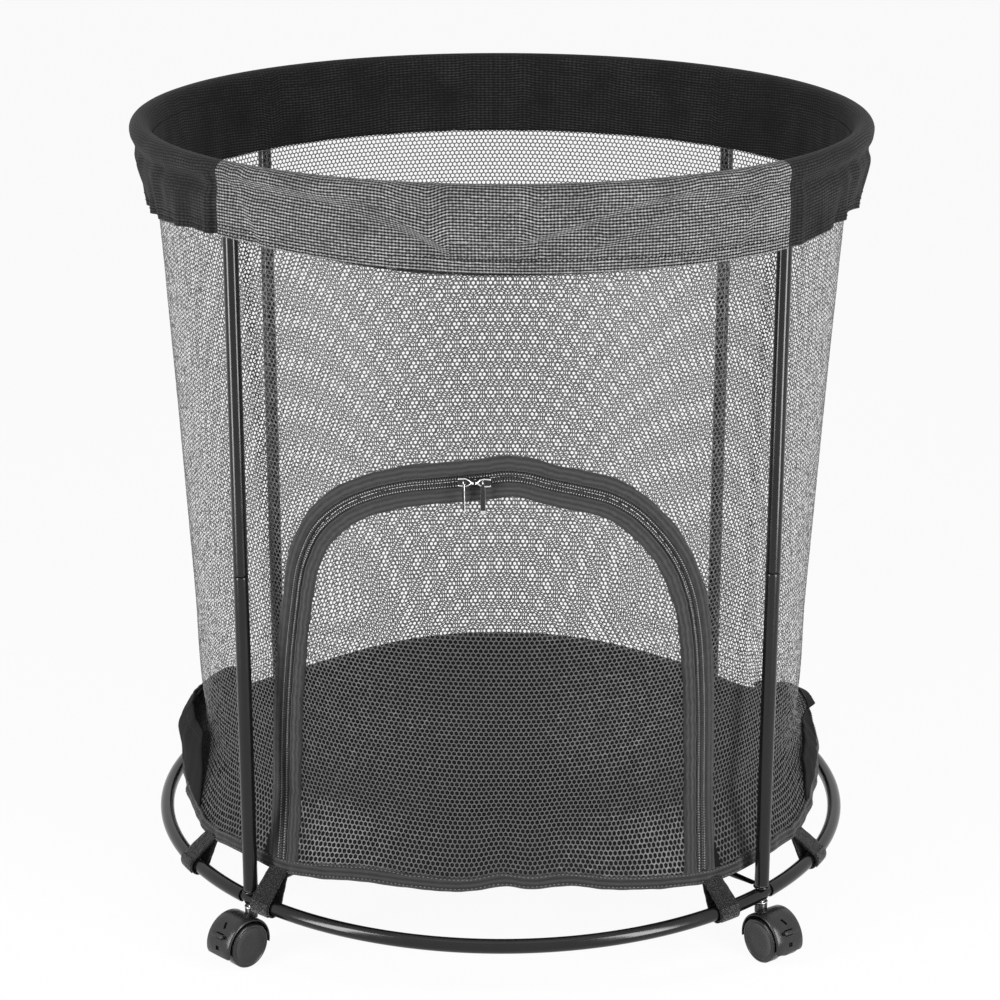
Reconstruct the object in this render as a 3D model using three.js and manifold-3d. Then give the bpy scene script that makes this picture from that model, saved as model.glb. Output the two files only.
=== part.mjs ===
// Round ball cart: a tube frame on four twin-wheel casters that holds a mesh bag with a zipped door.
// Millimetres, +Z up. The origin is on the floor under the middle of the frame, and the door faces -Y.
// An azimuth is an angle in degrees seen from above: 0 at the front (-Y), 90 on the right (+X).

import * as THREE from "three";
import { mergeVertices } from "three/addons/utils/BufferGeometryUtils.js";
import Module from "manifold-3d";

// Frame
const RING_R = 300;
const TUBE_D = 12;
const TUBE_WALL = 1.2;
const FRAME_RISE = 610;
const POST_AZIMUTH = 45;
const SOCKET_START = 9;
const SPIGOT_LENGTH = 33;
const SPIGOT_ROOT = 4;
const NECK_LENGTH = 8;
const POST_SPLIT = 285;
const POST_SPIGOT = 45;
const POST_PLUG = 20;
const STUB_LENGTH = 40;

// Cross rods under the bag
const ROD_D = 5;
const EAR_THICK = 1.5;
const EAR_D = 14;
const EAR_BAR_WIDTH = 7;
const EAR_BAR_LENGTH = 13;

// Casters
const WHEEL_D = 38;
const WHEEL_WIDTH = 10.5;
const WHEEL_EDGE = 1.3;
const WHEEL_SKIN = 1.2;
const CASTER_TRAIL = 15;
const COLLAR_RISE = 2.5;
const HOOD_CLEAR = 2.4;
const HOOD_SKIN = 1.6;
const HOOD_HALF_WIDTH = 14.2;
const HOOD_FRONT_DROP_DEG = 10;
const HOOD_BACK_DROP_DEG = 15;
const WEB_HALF_WIDTH = 4.2;
const WEB_BACK_DEG = 68;
const WEB_HUB_R = 7;
const COLLAR_D = 10.5;
const STEM_PIN_D = 5;
const STEM_PIN_DEPTH = 20;
const STEM_FLANGE_D = 11.2;
const STEM_FLANGE_THICK = 1.2;
const BOLT_D = 6;
const BOLT_END_GAP = 2;
const AXLE_D = 4;
const FRONT_RIGHT_SWIVEL_DEG = -10;

// Brake pedals on the front casters
const PEDAL_DEG = 30;
const PEDAL_PIVOT_R = 15.5;
const PEDAL_BARREL_D = 5;
const PEDAL_NECK_THICK = 2.4;
const PEDAL_NECK_HALF_WIDTH = 3.6;
const PEDAL_TAB_HALF_WIDTH = 6.8;
const PEDAL_TAB_LENGTH = 4;
const PEDAL_TAB_THICK = 3;
const PEDAL_TRAVEL_DEG = 10;
const WINDOW_DEG = 4;
const WINDOW_SIZE = 3;
const SLIT_DEG = 58;
const SLIT_LENGTH = 5;
const SLIT_WIDTH = 2;

// Bag
const FABRIC_THICK = 1.6;
const BAG_TURN_DEG = -2.6;
const BAG_FOOT_INSET = 38;
const BAG_HEAD_INSET = 11.4;
const HEM_TOP = 52;
const HEM_BOTTOM = 26;
const HEM_FLARE = 19;
const HEM_THICK = 1.8;
const BAND_SKIRT_DROP = 54;
const BAND_FACING_DROP = 62;
const BAND_THICK = 1.5;
const FLOOR_SLOPE_RUN = 82;
const FLOOR_RIM_RISE = 20.5;
const FLOOR_THICK = 2;

// Zipped door
const DOOR_HALF_WIDTH = 166;
const DOOR_SHOULDER = 250;
const DOOR_TOP = 384;
const DOOR_LEVEL = 104;
const DOOR_LIFT = 1;
const TAPE_SIDE = 12;
const TAPE_TOP = 17;
const TAPE_THICK = 2.2;
const CHAIN_THICK = 3;
const CHAIN_HALF_WIDTH = 3.2;
const CHAIN_SEAM = 1.4;

// Zip sliders and their pulls
const SLIDERS_MEET_DEG = -2.9;
const SLIDER_LENGTH = 12;
const SLIDER_HEIGHT = 6.4;
const SLIDER_PLATE = 1;
const SLIDER_CLEAR = 0.4;
const SLIDER_WEB = 0.7;
const SLIDER_WEB_LENGTH = 3;
const SLIDERS_APART = 0.8;
const LUG_THICK = 1;
const LUG_HEIGHT = 4;
const LUG_REACH = 3.4;
const PULL_WIDTH = 4;
const PULL_LENGTH = 27;
const PULL_THICK = 1.2;
const PULL_BAR_D = 1.2;
const PULL_EYE_D = 4;

// Hook-and-loop straps from the hem round the base ring
const STRAP_WIDTH = 20;
const STRAP_THICK = 1.8;
const STRAP_INNER_DEG = 39;
const STRAP_OUTER_DEG = 61.7;
const STRAP_CLEAR = 0.9;

// Clearances and cutting
const GAP = 0.3;
const SPIGOT_CLEAR = 0.5;
const SLEEVE_CLEAR = 0.3;
const OVERRUN = 5;

// How finely round things are divided
const TUBE_SIDES = 12;
const BORE_SIDES = 8;
const RING_STEPS = 48;
const CHAIN_STEPS = 96;
const BASE_ARC_STEPS = 12;
const ROD_STEPS = 8;
const WHEEL_SIDES = 20;
const PIN_SIDES = 10;
const HOOD_STEPS = 12;
const ARCH_STEPS = 7;
const LOOP_STEPS = 9;
const CREST_STEPS = 4;

// Sizes that follow from the ones above
const TUBE_R = TUBE_D / 2;
const BORE_R = TUBE_R - TUBE_WALL;
const SPIGOT_R = BORE_R - SPIGOT_CLEAR;
const BOLT_HOLE_R = BOLT_D / 2 + GAP;
const WHEEL_R = WHEEL_D / 2;
const HOOD_IN_R = WHEEL_R + HOOD_CLEAR;
const HOOD_OUT_R = HOOD_IN_R + HOOD_SKIN;
const CASTER_HEIGHT = WHEEL_R + HOOD_OUT_R + COLLAR_RISE;
const RING_Z = CASTER_HEIGHT + STEM_FLANGE_THICK + GAP + TUBE_R;
const TOP_Z = RING_Z + FRAME_RISE;
const EAR_Z = RING_Z + TUBE_R + GAP + EAR_THICK / 2;
const POST_FOOT_Z = EAR_Z + EAR_THICK / 2 + GAP;
const POST_HEAD_Z = TOP_Z - TUBE_R - GAP;
const POST_SPLIT_Z = RING_Z + POST_SPLIT;
const ROD_BOW = (ROD_D + GAP) / 2;
const WHEEL_IN_Y = WEB_HALF_WIDTH + 2 * GAP;
const WHEEL_OUT_Y = WHEEL_IN_Y + WHEEL_WIDTH;
const BAG_FOOT_R = RING_R - BAG_FOOT_INSET;
const BAG_HEAD_R = RING_R - BAG_HEAD_INSET;
const FLOOR_FLAT_R = BAG_FOOT_R - FLOOR_SLOPE_RUN;
const DOOR_CUT_REACH = BAG_HEAD_R + CHAIN_THICK + OVERRUN;
const HEM_TOP_Z = RING_Z + HEM_TOP - GAP;
const HEM_BOTTOM_Z = RING_Z + HEM_BOTTOM;
const WALL_FOOT_Z = RING_Z + HEM_TOP;
const FACING_Z = TOP_Z - BAND_FACING_DROP;
const WALL_HEAD_Z = FACING_Z - GAP;
const DOOR_FOOT_Z = WALL_FOOT_Z + DOOR_LIFT;
const DOOR_TOP_Z = RING_Z + DOOR_TOP;
const DOOR_SHOULDER_Z = RING_Z + DOOR_SHOULDER;
const FLOOR_Z = EAR_Z + ROD_BOW + ROD_D / 2 + GAP;

const POSTS = [
  { name: "front_left", azimuth: -POST_AZIMUTH, swivel: 0, braked: true },
  { name: "front_right", azimuth: POST_AZIMUTH, swivel: FRONT_RIGHT_SWIVEL_DEG, braked: true },
  { name: "rear_right", azimuth: 180 - POST_AZIMUTH, swivel: 0, braked: false },
  { name: "rear_left", azimuth: 180 + POST_AZIMUTH, swivel: 0, braked: false },
];

const STRAPS = [
  { name: "front_left", azimuth: BAG_TURN_DEG - STRAP_INNER_DEG },
  { name: "front_right", azimuth: BAG_TURN_DEG + STRAP_INNER_DEG },
  { name: "left_front", azimuth: -STRAP_OUTER_DEG },
  { name: "right_front", azimuth: STRAP_OUTER_DEG },
  { name: "left_rear", azimuth: 180 + STRAP_OUTER_DEG },
  { name: "right_rear", azimuth: 180 - STRAP_OUTER_DEG },
  { name: "rear_left", azimuth: 180 + BAG_TURN_DEG + STRAP_INNER_DEG },
  { name: "rear_right", azimuth: 180 + BAG_TURN_DEG - STRAP_INNER_DEG },
];

const FINISHES = {
  tube: { color: 0x1b1c1d, roughness: 0.38, metalness: 0.3 },
  steel: { color: 0x9a9c9e, roughness: 0.3, metalness: 0.9 },
  plastic: { color: 0x1d1d1e, roughness: 0.5, metalness: 0 },
  wheel: { color: 0x242425, roughness: 0.6, metalness: 0 },
  band: { color: 0x57585a, roughness: 0.85, metalness: 0 },
  mesh: { color: 0x16171a, roughness: 0.9, metalness: 0 },
  hem: { color: 0x1c1d1f, roughness: 0.8, metalness: 0 },
  zip: { color: 0x3a3b3d, roughness: 0.55, metalness: 0.1 },
  slider: { color: 0x2b2c2e, roughness: 0.3, metalness: 0.8 },
  strap: { color: 0x1a1a1b, roughness: 0.95, metalness: 0 },
};

const wasm = await Module();
wasm.setup();

// Solids from geometries, and back

function toSolid(geometry) {
  const bare = geometry.index ? geometry.toNonIndexed() : geometry.clone();
  for (const name of Object.keys(bare.attributes)) {
    if (name !== "position") {
      bare.deleteAttribute(name);
    }
  }
  const merged = mergeVertices(bare);
  const corners = merged.index.array;
  const kept = [];
  for (let i = 0; i < corners.length; i += 3) {
    const [a, b, c] = [corners[i], corners[i + 1], corners[i + 2]];
    if (a !== b && b !== c && c !== a) {
      kept.push(a, b, c);
    }
  }
  const solid = new wasm.Manifold(
    new wasm.Mesh({
      numProp: 3,
      vertProperties: merged.attributes.position.array,
      triVerts: new Uint32Array(kept),
    }),
  );
  return solid;
}

function toGeometry(solid) {
  const mesh = solid.getMesh();
  const geometry = new THREE.BufferGeometry();
  geometry.setAttribute("position", new THREE.BufferAttribute(mesh.vertProperties, mesh.numProp));
  geometry.setIndex(new THREE.BufferAttribute(mesh.triVerts, 1));
  return geometry;
}

function join(...geometries) {
  return toGeometry(geometries.map(toSolid).reduce((sum, solid) => sum.add(solid)));
}

function cut(geometry, ...tools) {
  return toGeometry(tools.map(toSolid).reduce((left, tool) => left.subtract(tool), toSolid(geometry)));
}

function common(first, second) {
  return toGeometry(toSolid(first).intersect(toSolid(second)));
}

// Outlines, places and basic solids

function radians(degrees) {
  return THREE.MathUtils.degToRad(degrees);
}

function onCircle(radius, azimuth, z) {
  const a = radians(azimuth);
  return new THREE.Vector3(radius * Math.sin(a), -radius * Math.cos(a), z);
}

function degreesAlong(length, radius) {
  return THREE.MathUtils.radToDeg(length / radius);
}

// A regular polygon whose flats lie at the given radius, one of them facing each axis.
function polygon(flatRadius, sides) {
  const cornerRadius = flatRadius / Math.cos(Math.PI / sides);
  const points = [];
  for (let i = 0; i < sides; i += 1) {
    const a = (2 * Math.PI * (i + 1 / 2)) / sides;
    points.push(new THREE.Vector2(cornerRadius * Math.cos(a), cornerRadius * Math.sin(a)));
  }
  return new THREE.Shape(points);
}

class RingArc extends THREE.Curve {
  constructor(radius, z, from, to) {
    super();
    this.radius = radius;
    this.z = z;
    this.from = from;
    this.to = to;
  }

  getPoint(t) {
    return onCircle(this.radius, this.from + (this.to - this.from) * t, this.z);
  }
}

function sweep(shape, curve, steps) {
  return new THREE.ExtrudeGeometry(shape, { extrudePath: curve, steps, bevelEnabled: false });
}

function ringTube(flatRadius, sides, z, from, to, steps) {
  return sweep(polygon(flatRadius, sides), new RingArc(RING_R, z, from, to), steps);
}

function openRingTube(z, from, to, steps) {
  const wall = polygon(TUBE_R, TUBE_SIDES);
  wall.holes.push(polygon(BORE_R, BORE_SIDES));
  return sweep(wall, new RingArc(RING_R, z, from, to), steps);
}

// A prism standing on a height, from low to high, round a vertical line through x and y.
function pillar(flatRadius, sides, low, high, x = 0, y = 0) {
  const prism = new THREE.ExtrudeGeometry(polygon(flatRadius, sides), {
    depth: high - low,
    bevelEnabled: false,
  });
  return prism.translate(x, y, low);
}

function box(sizeX, sizeY, sizeZ, x, y, z) {
  return new THREE.BoxGeometry(sizeX, sizeY, sizeZ).translate(x, y, z);
}

function signedArea(points) {
  return points.reduce((sum, p, i) => {
    const q = points[(i + 1) % points.length];
    return sum + (p[0] * q[1] - q[0] * p[1]) / 2;
  }, 0);
}

// A closed profile of [radius, height] points turned round the vertical axis.
function revolve(profile, steps) {
  const turned = signedArea(profile) > 0 ? profile : [...profile].reverse();
  const closed = [...turned, turned[0]].map(([r, z]) => new THREE.Vector2(r, z));
  const lathe = new THREE.LatheGeometry(closed, steps).rotateX(Math.PI / 2);
  return toGeometry(toSolid(lathe));
}

// An outline of [along X, along Z] points, made solid from lowY to highY.
function slabAlongY(outline, lowY, highY) {
  const shape = new THREE.Shape(outline.map(([x, z]) => new THREE.Vector2(x, z)));
  const slab = new THREE.ExtrudeGeometry(shape, { depth: highY - lowY, bevelEnabled: false });
  return slab.rotateX(Math.PI / 2).translate(0, highY, 0);
}

function arcPoints(centreX, centreZ, radius, fromDeg, toDeg, steps) {
  const points = [];
  for (let i = 0; i <= steps; i += 1) {
    const a = radians(fromDeg + ((toDeg - fromDeg) * i) / steps);
    points.push([centreX + radius * Math.cos(a), centreZ + radius * Math.sin(a)]);
  }
  return points;
}

function postPlace(azimuth) {
  return onCircle(RING_R, azimuth, 0);
}

// Base ring: the front and rear arcs run under the posts and plug into the side arcs

function pluggedBaseArc(middle) {
  const reach = POST_AZIMUTH + degreesAlong(SOCKET_START, RING_R);
  const root = degreesAlong(SPIGOT_ROOT, RING_R);
  const spigot = degreesAlong(SPIGOT_LENGTH, RING_R);
  const solid = join(
    ringTube(TUBE_R, TUBE_SIDES, RING_Z, middle - reach, middle + reach, BASE_ARC_STEPS),
    ringTube(SPIGOT_R, BORE_SIDES, RING_Z, middle - reach - spigot, middle - reach + root, 1),
    ringTube(SPIGOT_R, BORE_SIDES, RING_Z, middle + reach - root, middle + reach + spigot, 1),
  );
  const holes = [middle - POST_AZIMUTH, middle + POST_AZIMUTH].map((azimuth) => {
    const place = postPlace(azimuth);
    return pillar(BOLT_HOLE_R, BORE_SIDES, RING_Z - TUBE_D, RING_Z + TUBE_D, place.x, place.y);
  });
  const bore = ringTube(
    BORE_R,
    BORE_SIDES,
    RING_Z,
    middle - POST_AZIMUTH,
    middle + POST_AZIMUTH,
    BASE_ARC_STEPS,
  );
  return cut(solid, bore, ...holes);
}

function socketBaseArc(middle) {
  const reach = 90 - POST_AZIMUTH - degreesAlong(SOCKET_START + GAP, RING_R);
  return openRingTube(RING_Z, middle - reach, middle + reach, BASE_ARC_STEPS);
}

// Top ring: two half rings with studs that go down into the posts, the front half plugged into the rear

function topStuds(middle) {
  return [-1, 1].map((side) => {
    const place = postPlace(middle + side * POST_AZIMUTH);
    return pillar(SPIGOT_R, BORE_SIDES, POST_HEAD_Z - STUB_LENGTH, TOP_Z, place.x, place.y);
  });
}

function pluggedTopHalf(middle) {
  const spigot = degreesAlong(SPIGOT_LENGTH, RING_R);
  const neck = degreesAlong(NECK_LENGTH, RING_R);
  const over = degreesAlong(OVERRUN, RING_R);
  const alongEnd = (radius, side, start, end) => {
    const [low, high] = side > 0 ? [start, end] : [-end, -start];
    return ringTube(radius, BORE_SIDES, TOP_Z, middle + low, middle + high, 1);
  };
  const ventR = SPIGOT_R - TUBE_WALL;
  const solid = join(
    ringTube(TUBE_R, TUBE_SIDES, TOP_Z, middle - 90, middle + 90, RING_STEPS / 2),
    alongEnd(SPIGOT_R, -1, 90 - neck / 2, 90 + spigot),
    alongEnd(SPIGOT_R, 1, 90 - neck / 2, 90 + spigot),
  );
  const bore = ringTube(
    BORE_R,
    BORE_SIDES,
    TOP_Z,
    middle - 90 + neck,
    middle + 90 - neck,
    RING_STEPS / 2,
  );
  const vents = [-1, 1].map((side) => alongEnd(ventR, side, 90 - neck - over, 90 + spigot + over));
  return join(cut(solid, bore, ...vents), ...topStuds(middle));
}

function socketTopHalf(middle) {
  const reach = 90 - degreesAlong(GAP, RING_R);
  const half = openRingTube(TOP_Z, middle - reach, middle + reach, RING_STEPS / 2);
  return join(half, ...topStuds(middle));
}

// Posts in two lengths, the lower one with a threaded plug for the caster's bolt

function lowerPost() {
  const solid = join(
    pillar(TUBE_R, TUBE_SIDES, POST_FOOT_Z, POST_SPLIT_Z),
    pillar(SPIGOT_R, BORE_SIDES, POST_SPLIT_Z - SPIGOT_ROOT, POST_SPLIT_Z + POST_SPIGOT),
  );
  const plugTop = POST_FOOT_Z + POST_PLUG;
  return cut(
    solid,
    pillar(BORE_R, BORE_SIDES, plugTop, POST_SPLIT_Z - NECK_LENGTH),
    pillar(BOLT_HOLE_R, BORE_SIDES, POST_FOOT_Z - OVERRUN, plugTop + OVERRUN),
  );
}

function upperPost() {
  return cut(
    pillar(TUBE_R, TUBE_SIDES, POST_SPLIT_Z + GAP, POST_HEAD_Z),
    pillar(BORE_R, BORE_SIDES, POST_SPLIT_Z - OVERRUN, POST_HEAD_Z + OVERRUN),
  );
}

// A cross rod along X, bowed in the middle to pass the other one, with a flattened ear at each end
function crossRod(bow) {
  const rodEnd = RING_R - EAR_BAR_LENGTH + ROD_D;
  const curve = new THREE.QuadraticBezierCurve3(
    new THREE.Vector3(-rodEnd, 0, EAR_Z),
    new THREE.Vector3(0, 0, EAR_Z + 2 * bow),
    new THREE.Vector3(rodEnd, 0, EAR_Z),
  );
  const pieces = [sweep(polygon(ROD_D / 2, BORE_SIDES), curve, ROD_STEPS)];
  const holes = [];
  for (const side of [-1, 1]) {
    const x = side * RING_R;
    const barX = side * (RING_R - EAR_BAR_LENGTH / 2);
    pieces.push(pillar(EAR_D / 2, TUBE_SIDES, EAR_Z - EAR_THICK / 2, EAR_Z + EAR_THICK / 2, x));
    pieces.push(box(EAR_BAR_LENGTH, EAR_BAR_WIDTH, EAR_THICK, barX, 0, EAR_Z));
    holes.push(pillar(BOLT_HOLE_R, BORE_SIDES, EAR_Z - ROD_D, EAR_Z + ROD_D, x));
  }
  return cut(join(...pieces), ...holes);
}

// Casters, modelled with the stem's axis at the origin and the wheels trailing towards +X

function casterStem() {
  const pinFoot = CASTER_HEIGHT - STEM_PIN_DEPTH;
  const boltHead = POST_FOOT_Z + POST_PLUG - BOLT_END_GAP;
  const profile = [
    [0, pinFoot],
    [STEM_PIN_D / 2, pinFoot],
    [STEM_PIN_D / 2, CASTER_HEIGHT],
    [STEM_FLANGE_D / 2, CASTER_HEIGHT],
    [STEM_FLANGE_D / 2, CASTER_HEIGHT + STEM_FLANGE_THICK],
    [BOLT_D / 2, CASTER_HEIGHT + STEM_FLANGE_THICK],
    [BOLT_D / 2, boltHead],
    [0, boltHead],
  ];
  return revolve(profile, PIN_SIDES);
}

function onHood(radius, degrees) {
  const a = radians(degrees);
  return [CASTER_TRAIL + radius * Math.cos(a), WHEEL_R + radius * Math.sin(a)];
}

// A bar that crosses the hood's skin at an angle, long across the skin, for cutting windows.
function hoodPunch(degrees, along, width) {
  const reach = HOOD_SKIN + HOOD_CLEAR;
  const [x, z] = onHood(HOOD_OUT_R - HOOD_SKIN / 2, degrees);
  return new THREE.BoxGeometry(2 * reach, width, along).rotateY(-radians(degrees)).translate(x, 0, z);
}

function casterHood(braked) {
  const [from, to] = [-HOOD_BACK_DROP_DEG, 180 + HOOD_FRONT_DROP_DEG];
  const skin = [
    ...arcPoints(CASTER_TRAIL, WHEEL_R, HOOD_OUT_R, from, to, HOOD_STEPS),
    ...arcPoints(CASTER_TRAIL, WHEEL_R, HOOD_IN_R, to, from, HOOD_STEPS),
  ];
  const web = [
    ...arcPoints(CASTER_TRAIL, WHEEL_R, HOOD_OUT_R - HOOD_SKIN / 2, WEB_BACK_DEG, to, HOOD_STEPS / 2),
    onHood(WEB_HUB_R, 180 + POST_AZIMUTH),
    onHood(WEB_HUB_R, -POST_AZIMUTH),
    onHood(WEB_HUB_R, 0),
  ];
  const collarTop = CASTER_HEIGHT - GAP;
  const cavity = slabAlongY(
    arcPoints(CASTER_TRAIL, WHEEL_R, HOOD_IN_R, 0, 360 - 360 / (2 * HOOD_STEPS), 2 * HOOD_STEPS - 1),
    -HOOD_HALF_WIDTH,
    HOOD_HALF_WIDTH,
  );
  const collar = cut(pillar(COLLAR_D / 2, TUBE_SIDES, WHEEL_R + HOOD_CLEAR, collarTop), cavity);
  const solid = join(
    slabAlongY(skin, -HOOD_HALF_WIDTH, HOOD_HALF_WIDTH),
    slabAlongY(web, -WEB_HALF_WIDTH, WEB_HALF_WIDTH),
    collar,
  );
  const pinHole = pillar(
    STEM_PIN_D / 2 + GAP,
    PIN_SIDES,
    CASTER_HEIGHT - STEM_PIN_DEPTH - GAP,
    collarTop + OVERRUN,
  );
  const axleHole = new THREE.CylinderGeometry(
    AXLE_D / 2 + GAP,
    AXLE_D / 2 + GAP,
    2 * HOOD_HALF_WIDTH,
    PIN_SIDES,
  ).translate(CASTER_TRAIL, 0, WHEEL_R);
  if (!braked) {
    return cut(solid, pinHole, axleHole);
  }
  const slotSpan = PEDAL_NECK_THICK + 2 * GAP;
  const travelRoom = (HOOD_OUT_R - PEDAL_PIVOT_R) * Math.tan(radians(PEDAL_TRAVEL_DEG));
  const slotDrop = degreesAlong(travelRoom / 2, HOOD_OUT_R);
  return cut(
    solid,
    pinHole,
    axleHole,
    hoodPunch(PEDAL_DEG - slotDrop, slotSpan + 2 * travelRoom, 2 * (PEDAL_NECK_HALF_WIDTH + GAP)),
    hoodPunch(WINDOW_DEG, WINDOW_SIZE, WINDOW_SIZE),
    hoodPunch(SLIT_DEG, SLIT_LENGTH, SLIT_WIDTH),
  );
}

function wheel(side) {
  const flatR = WHEEL_R / Math.cos(Math.PI / WHEEL_SIDES);
  const boreR = AXLE_D / 2 + GAP;
  const boreEnd = WHEEL_OUT_Y - WHEEL_SKIN;
  const profile = [
    [0, boreEnd],
    [boreR, boreEnd],
    [boreR, WHEEL_IN_Y],
    [flatR - WHEEL_EDGE, WHEEL_IN_Y],
    [flatR, WHEEL_IN_Y + WHEEL_EDGE],
    [flatR, WHEEL_OUT_Y - WHEEL_EDGE],
    [flatR - WHEEL_EDGE, WHEEL_OUT_Y],
    [0, WHEEL_OUT_Y],
  ];
  const flatDown = Math.PI / WHEEL_SIDES;
  const upright = revolve(profile, WHEEL_SIDES);
  return upright.rotateZ(flatDown).rotateX(-side * Math.PI / 2).translate(CASTER_TRAIL, 0, WHEEL_R);
}

function axle() {
  const length = 2 * (WHEEL_OUT_Y - WHEEL_SKIN - GAP);
  const pin = new THREE.CylinderGeometry(AXLE_D / 2, AXLE_D / 2, length, PIN_SIDES);
  return toGeometry(toSolid(pin.translate(CASTER_TRAIL, 0, WHEEL_R)));
}

// The pedal: a barrel behind the hood's web, a neck out through the slot and a tab to step on
function brakePedal() {
  const tabStart = HOOD_OUT_R + 2 * GAP;
  const neckStart = PEDAL_PIVOT_R;
  const [barrelX, barrelZ] = onHood(PEDAL_PIVOT_R, PEDAL_DEG);
  const barrel = new THREE.CylinderGeometry(
    PEDAL_BARREL_D / 2,
    PEDAL_BARREL_D / 2,
    2 * PEDAL_NECK_HALF_WIDTH,
    PIN_SIDES,
  ).translate(barrelX, 0, barrelZ);
  const along = (start, end, thick, halfWidth) => {
    const [x, z] = onHood((start + end) / 2, PEDAL_DEG);
    const bar = new THREE.BoxGeometry(end - start, 2 * halfWidth, thick);
    return bar.rotateY(-radians(PEDAL_DEG)).translate(x, 0, z);
  };
  return join(
    barrel,
    along(neckStart, tabStart + PEDAL_TAB_LENGTH / 2, PEDAL_NECK_THICK, PEDAL_NECK_HALF_WIDTH),
    along(tabStart, tabStart + PEDAL_TAB_LENGTH, PEDAL_TAB_THICK, PEDAL_TAB_HALF_WIDTH),
  );
}

// Bag: a sleeve over the top ring, a tapering wall, a flared hem and a dished floor

function wallRadius(z) {
  const share = (z - WALL_FOOT_Z) / (WALL_HEAD_Z - WALL_FOOT_Z);
  return BAG_FOOT_R + (BAG_HEAD_R - BAG_FOOT_R) * share;
}

// A conical shell of the bag's taper, with the given part of its thickness outside the wall's face.
function bagShell(thick, proud, low, high, steps) {
  const [footR, headR] = [wallRadius(low) + proud, wallRadius(high) + proud];
  const profile = [
    [footR, low],
    [headR, high],
    [headR - thick, high],
    [footR - thick, low],
  ];
  return revolve(profile, steps);
}

function bagBand() {
  const innerR = TUBE_R / Math.cos(Math.PI / TUBE_SIDES) + SLEEVE_CLEAR;
  const outerR = innerR + BAND_THICK;
  const roomy = Math.cos(Math.PI / (2 * CREST_STEPS));
  const skirtZ = TOP_Z - BAND_SKIRT_DROP;
  const headIn = BAG_HEAD_R - BAND_THICK;
  const profile = [
    [RING_R + innerR / roomy, skirtZ],
    [RING_R + outerR / roomy, skirtZ],
    ...arcPoints(RING_R, TOP_Z, outerR / roomy, 0, 180, CREST_STEPS),
    [headIn, FACING_Z],
    [BAG_HEAD_R, FACING_Z],
    ...arcPoints(RING_R, TOP_Z, innerR / roomy, 180, 0, CREST_STEPS),
  ];
  return revolve(profile, RING_STEPS);
}

function bagHem() {
  const profile = [
    [BAG_FOOT_R - HEM_THICK, HEM_TOP_Z],
    [BAG_FOOT_R, HEM_TOP_Z],
    [BAG_FOOT_R + HEM_FLARE, HEM_BOTTOM_Z],
    [BAG_FOOT_R + HEM_FLARE - HEM_THICK, HEM_BOTTOM_Z],
  ];
  return revolve(profile, RING_STEPS);
}

function hemRadius(z) {
  return BAG_FOOT_R + (HEM_FLARE * (HEM_TOP_Z - z)) / (HEM_TOP_Z - HEM_BOTTOM_Z);
}

function bagFloor() {
  const rimZ = FLOOR_Z + FLOOR_RIM_RISE;
  const rimR = hemRadius(rimZ + FLOOR_THICK) - HEM_THICK - GAP;
  const profile = [
    [0, FLOOR_Z],
    [FLOOR_FLAT_R, FLOOR_Z],
    [rimR, rimZ],
    [rimR, rimZ + FLOOR_THICK],
    [FLOOR_FLAT_R, FLOOR_Z + FLOOR_THICK],
    [0, FLOOR_Z + FLOOR_THICK],
  ];
  return revolve(profile, RING_STEPS);
}

// A prism that runs front to back through the front of the bag, with the door's arched outline
// moved outwards from the line of the zip by so much at the sides and at the top.
function doorPrism(side, top, low) {
  const half = DOOR_HALF_WIDTH + side;
  const across = half - DOOR_LEVEL / 2;
  const up = DOOR_TOP_Z + top - DOOR_SHOULDER_Z;
  const shoulder = [];
  for (let i = 0; i <= ARCH_STEPS; i += 1) {
    const a = (Math.PI / 2) * (i / ARCH_STEPS);
    shoulder.push([DOOR_LEVEL / 2 + across * Math.cos(a), DOOR_SHOULDER_Z + up * Math.sin(a)]);
  }
  const outline = [[half, low], ...shoulder, ...shoulder.map(([x, z]) => [-x, z]).reverse(), [-half, low]];
  return slabAlongY(outline, -DOOR_CUT_REACH, 0).rotateZ(radians(BAG_TURN_DEG));
}

function bagWall() {
  const shell = bagShell(FABRIC_THICK, 0, WALL_FOOT_Z, WALL_HEAD_Z, RING_STEPS);
  return cut(shell, doorPrism(TAPE_SIDE + GAP, TAPE_TOP + GAP, WALL_FOOT_Z - OVERRUN));
}

// A strip of a shell between two arched outlines, the inner one left out where there is none.
function doorStrip(shell, outer, inner) {
  const filled = common(shell, outer);
  return inner ? cut(filled, inner) : filled;
}

function tapeShell(low) {
  return bagShell(TAPE_THICK, (TAPE_THICK - FABRIC_THICK) / 2, low, WALL_HEAD_Z, RING_STEPS);
}

function chainShell(low) {
  return bagShell(CHAIN_THICK, (CHAIN_THICK - FABRIC_THICK) / 2, low, WALL_HEAD_Z, CHAIN_STEPS);
}

function outerTape() {
  const toChain = CHAIN_HALF_WIDTH + GAP;
  const foot = WALL_FOOT_Z - OVERRUN;
  return doorStrip(
    tapeShell(WALL_FOOT_Z),
    doorPrism(TAPE_SIDE, TAPE_TOP, foot),
    doorPrism(toChain, toChain, foot),
  );
}

function outerChain() {
  const toSeam = CHAIN_SEAM / 2;
  const foot = WALL_FOOT_Z - OVERRUN;
  return doorStrip(
    chainShell(WALL_FOOT_Z),
    doorPrism(CHAIN_HALF_WIDTH, CHAIN_HALF_WIDTH, foot),
    doorPrism(toSeam, toSeam, foot),
  );
}

function innerChain() {
  const toSeam = CHAIN_SEAM / 2;
  const foot = DOOR_FOOT_Z - OVERRUN;
  return doorStrip(
    chainShell(DOOR_FOOT_Z),
    doorPrism(-toSeam, -toSeam, foot),
    doorPrism(-CHAIN_HALF_WIDTH, -CHAIN_HALF_WIDTH, foot),
  );
}

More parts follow.
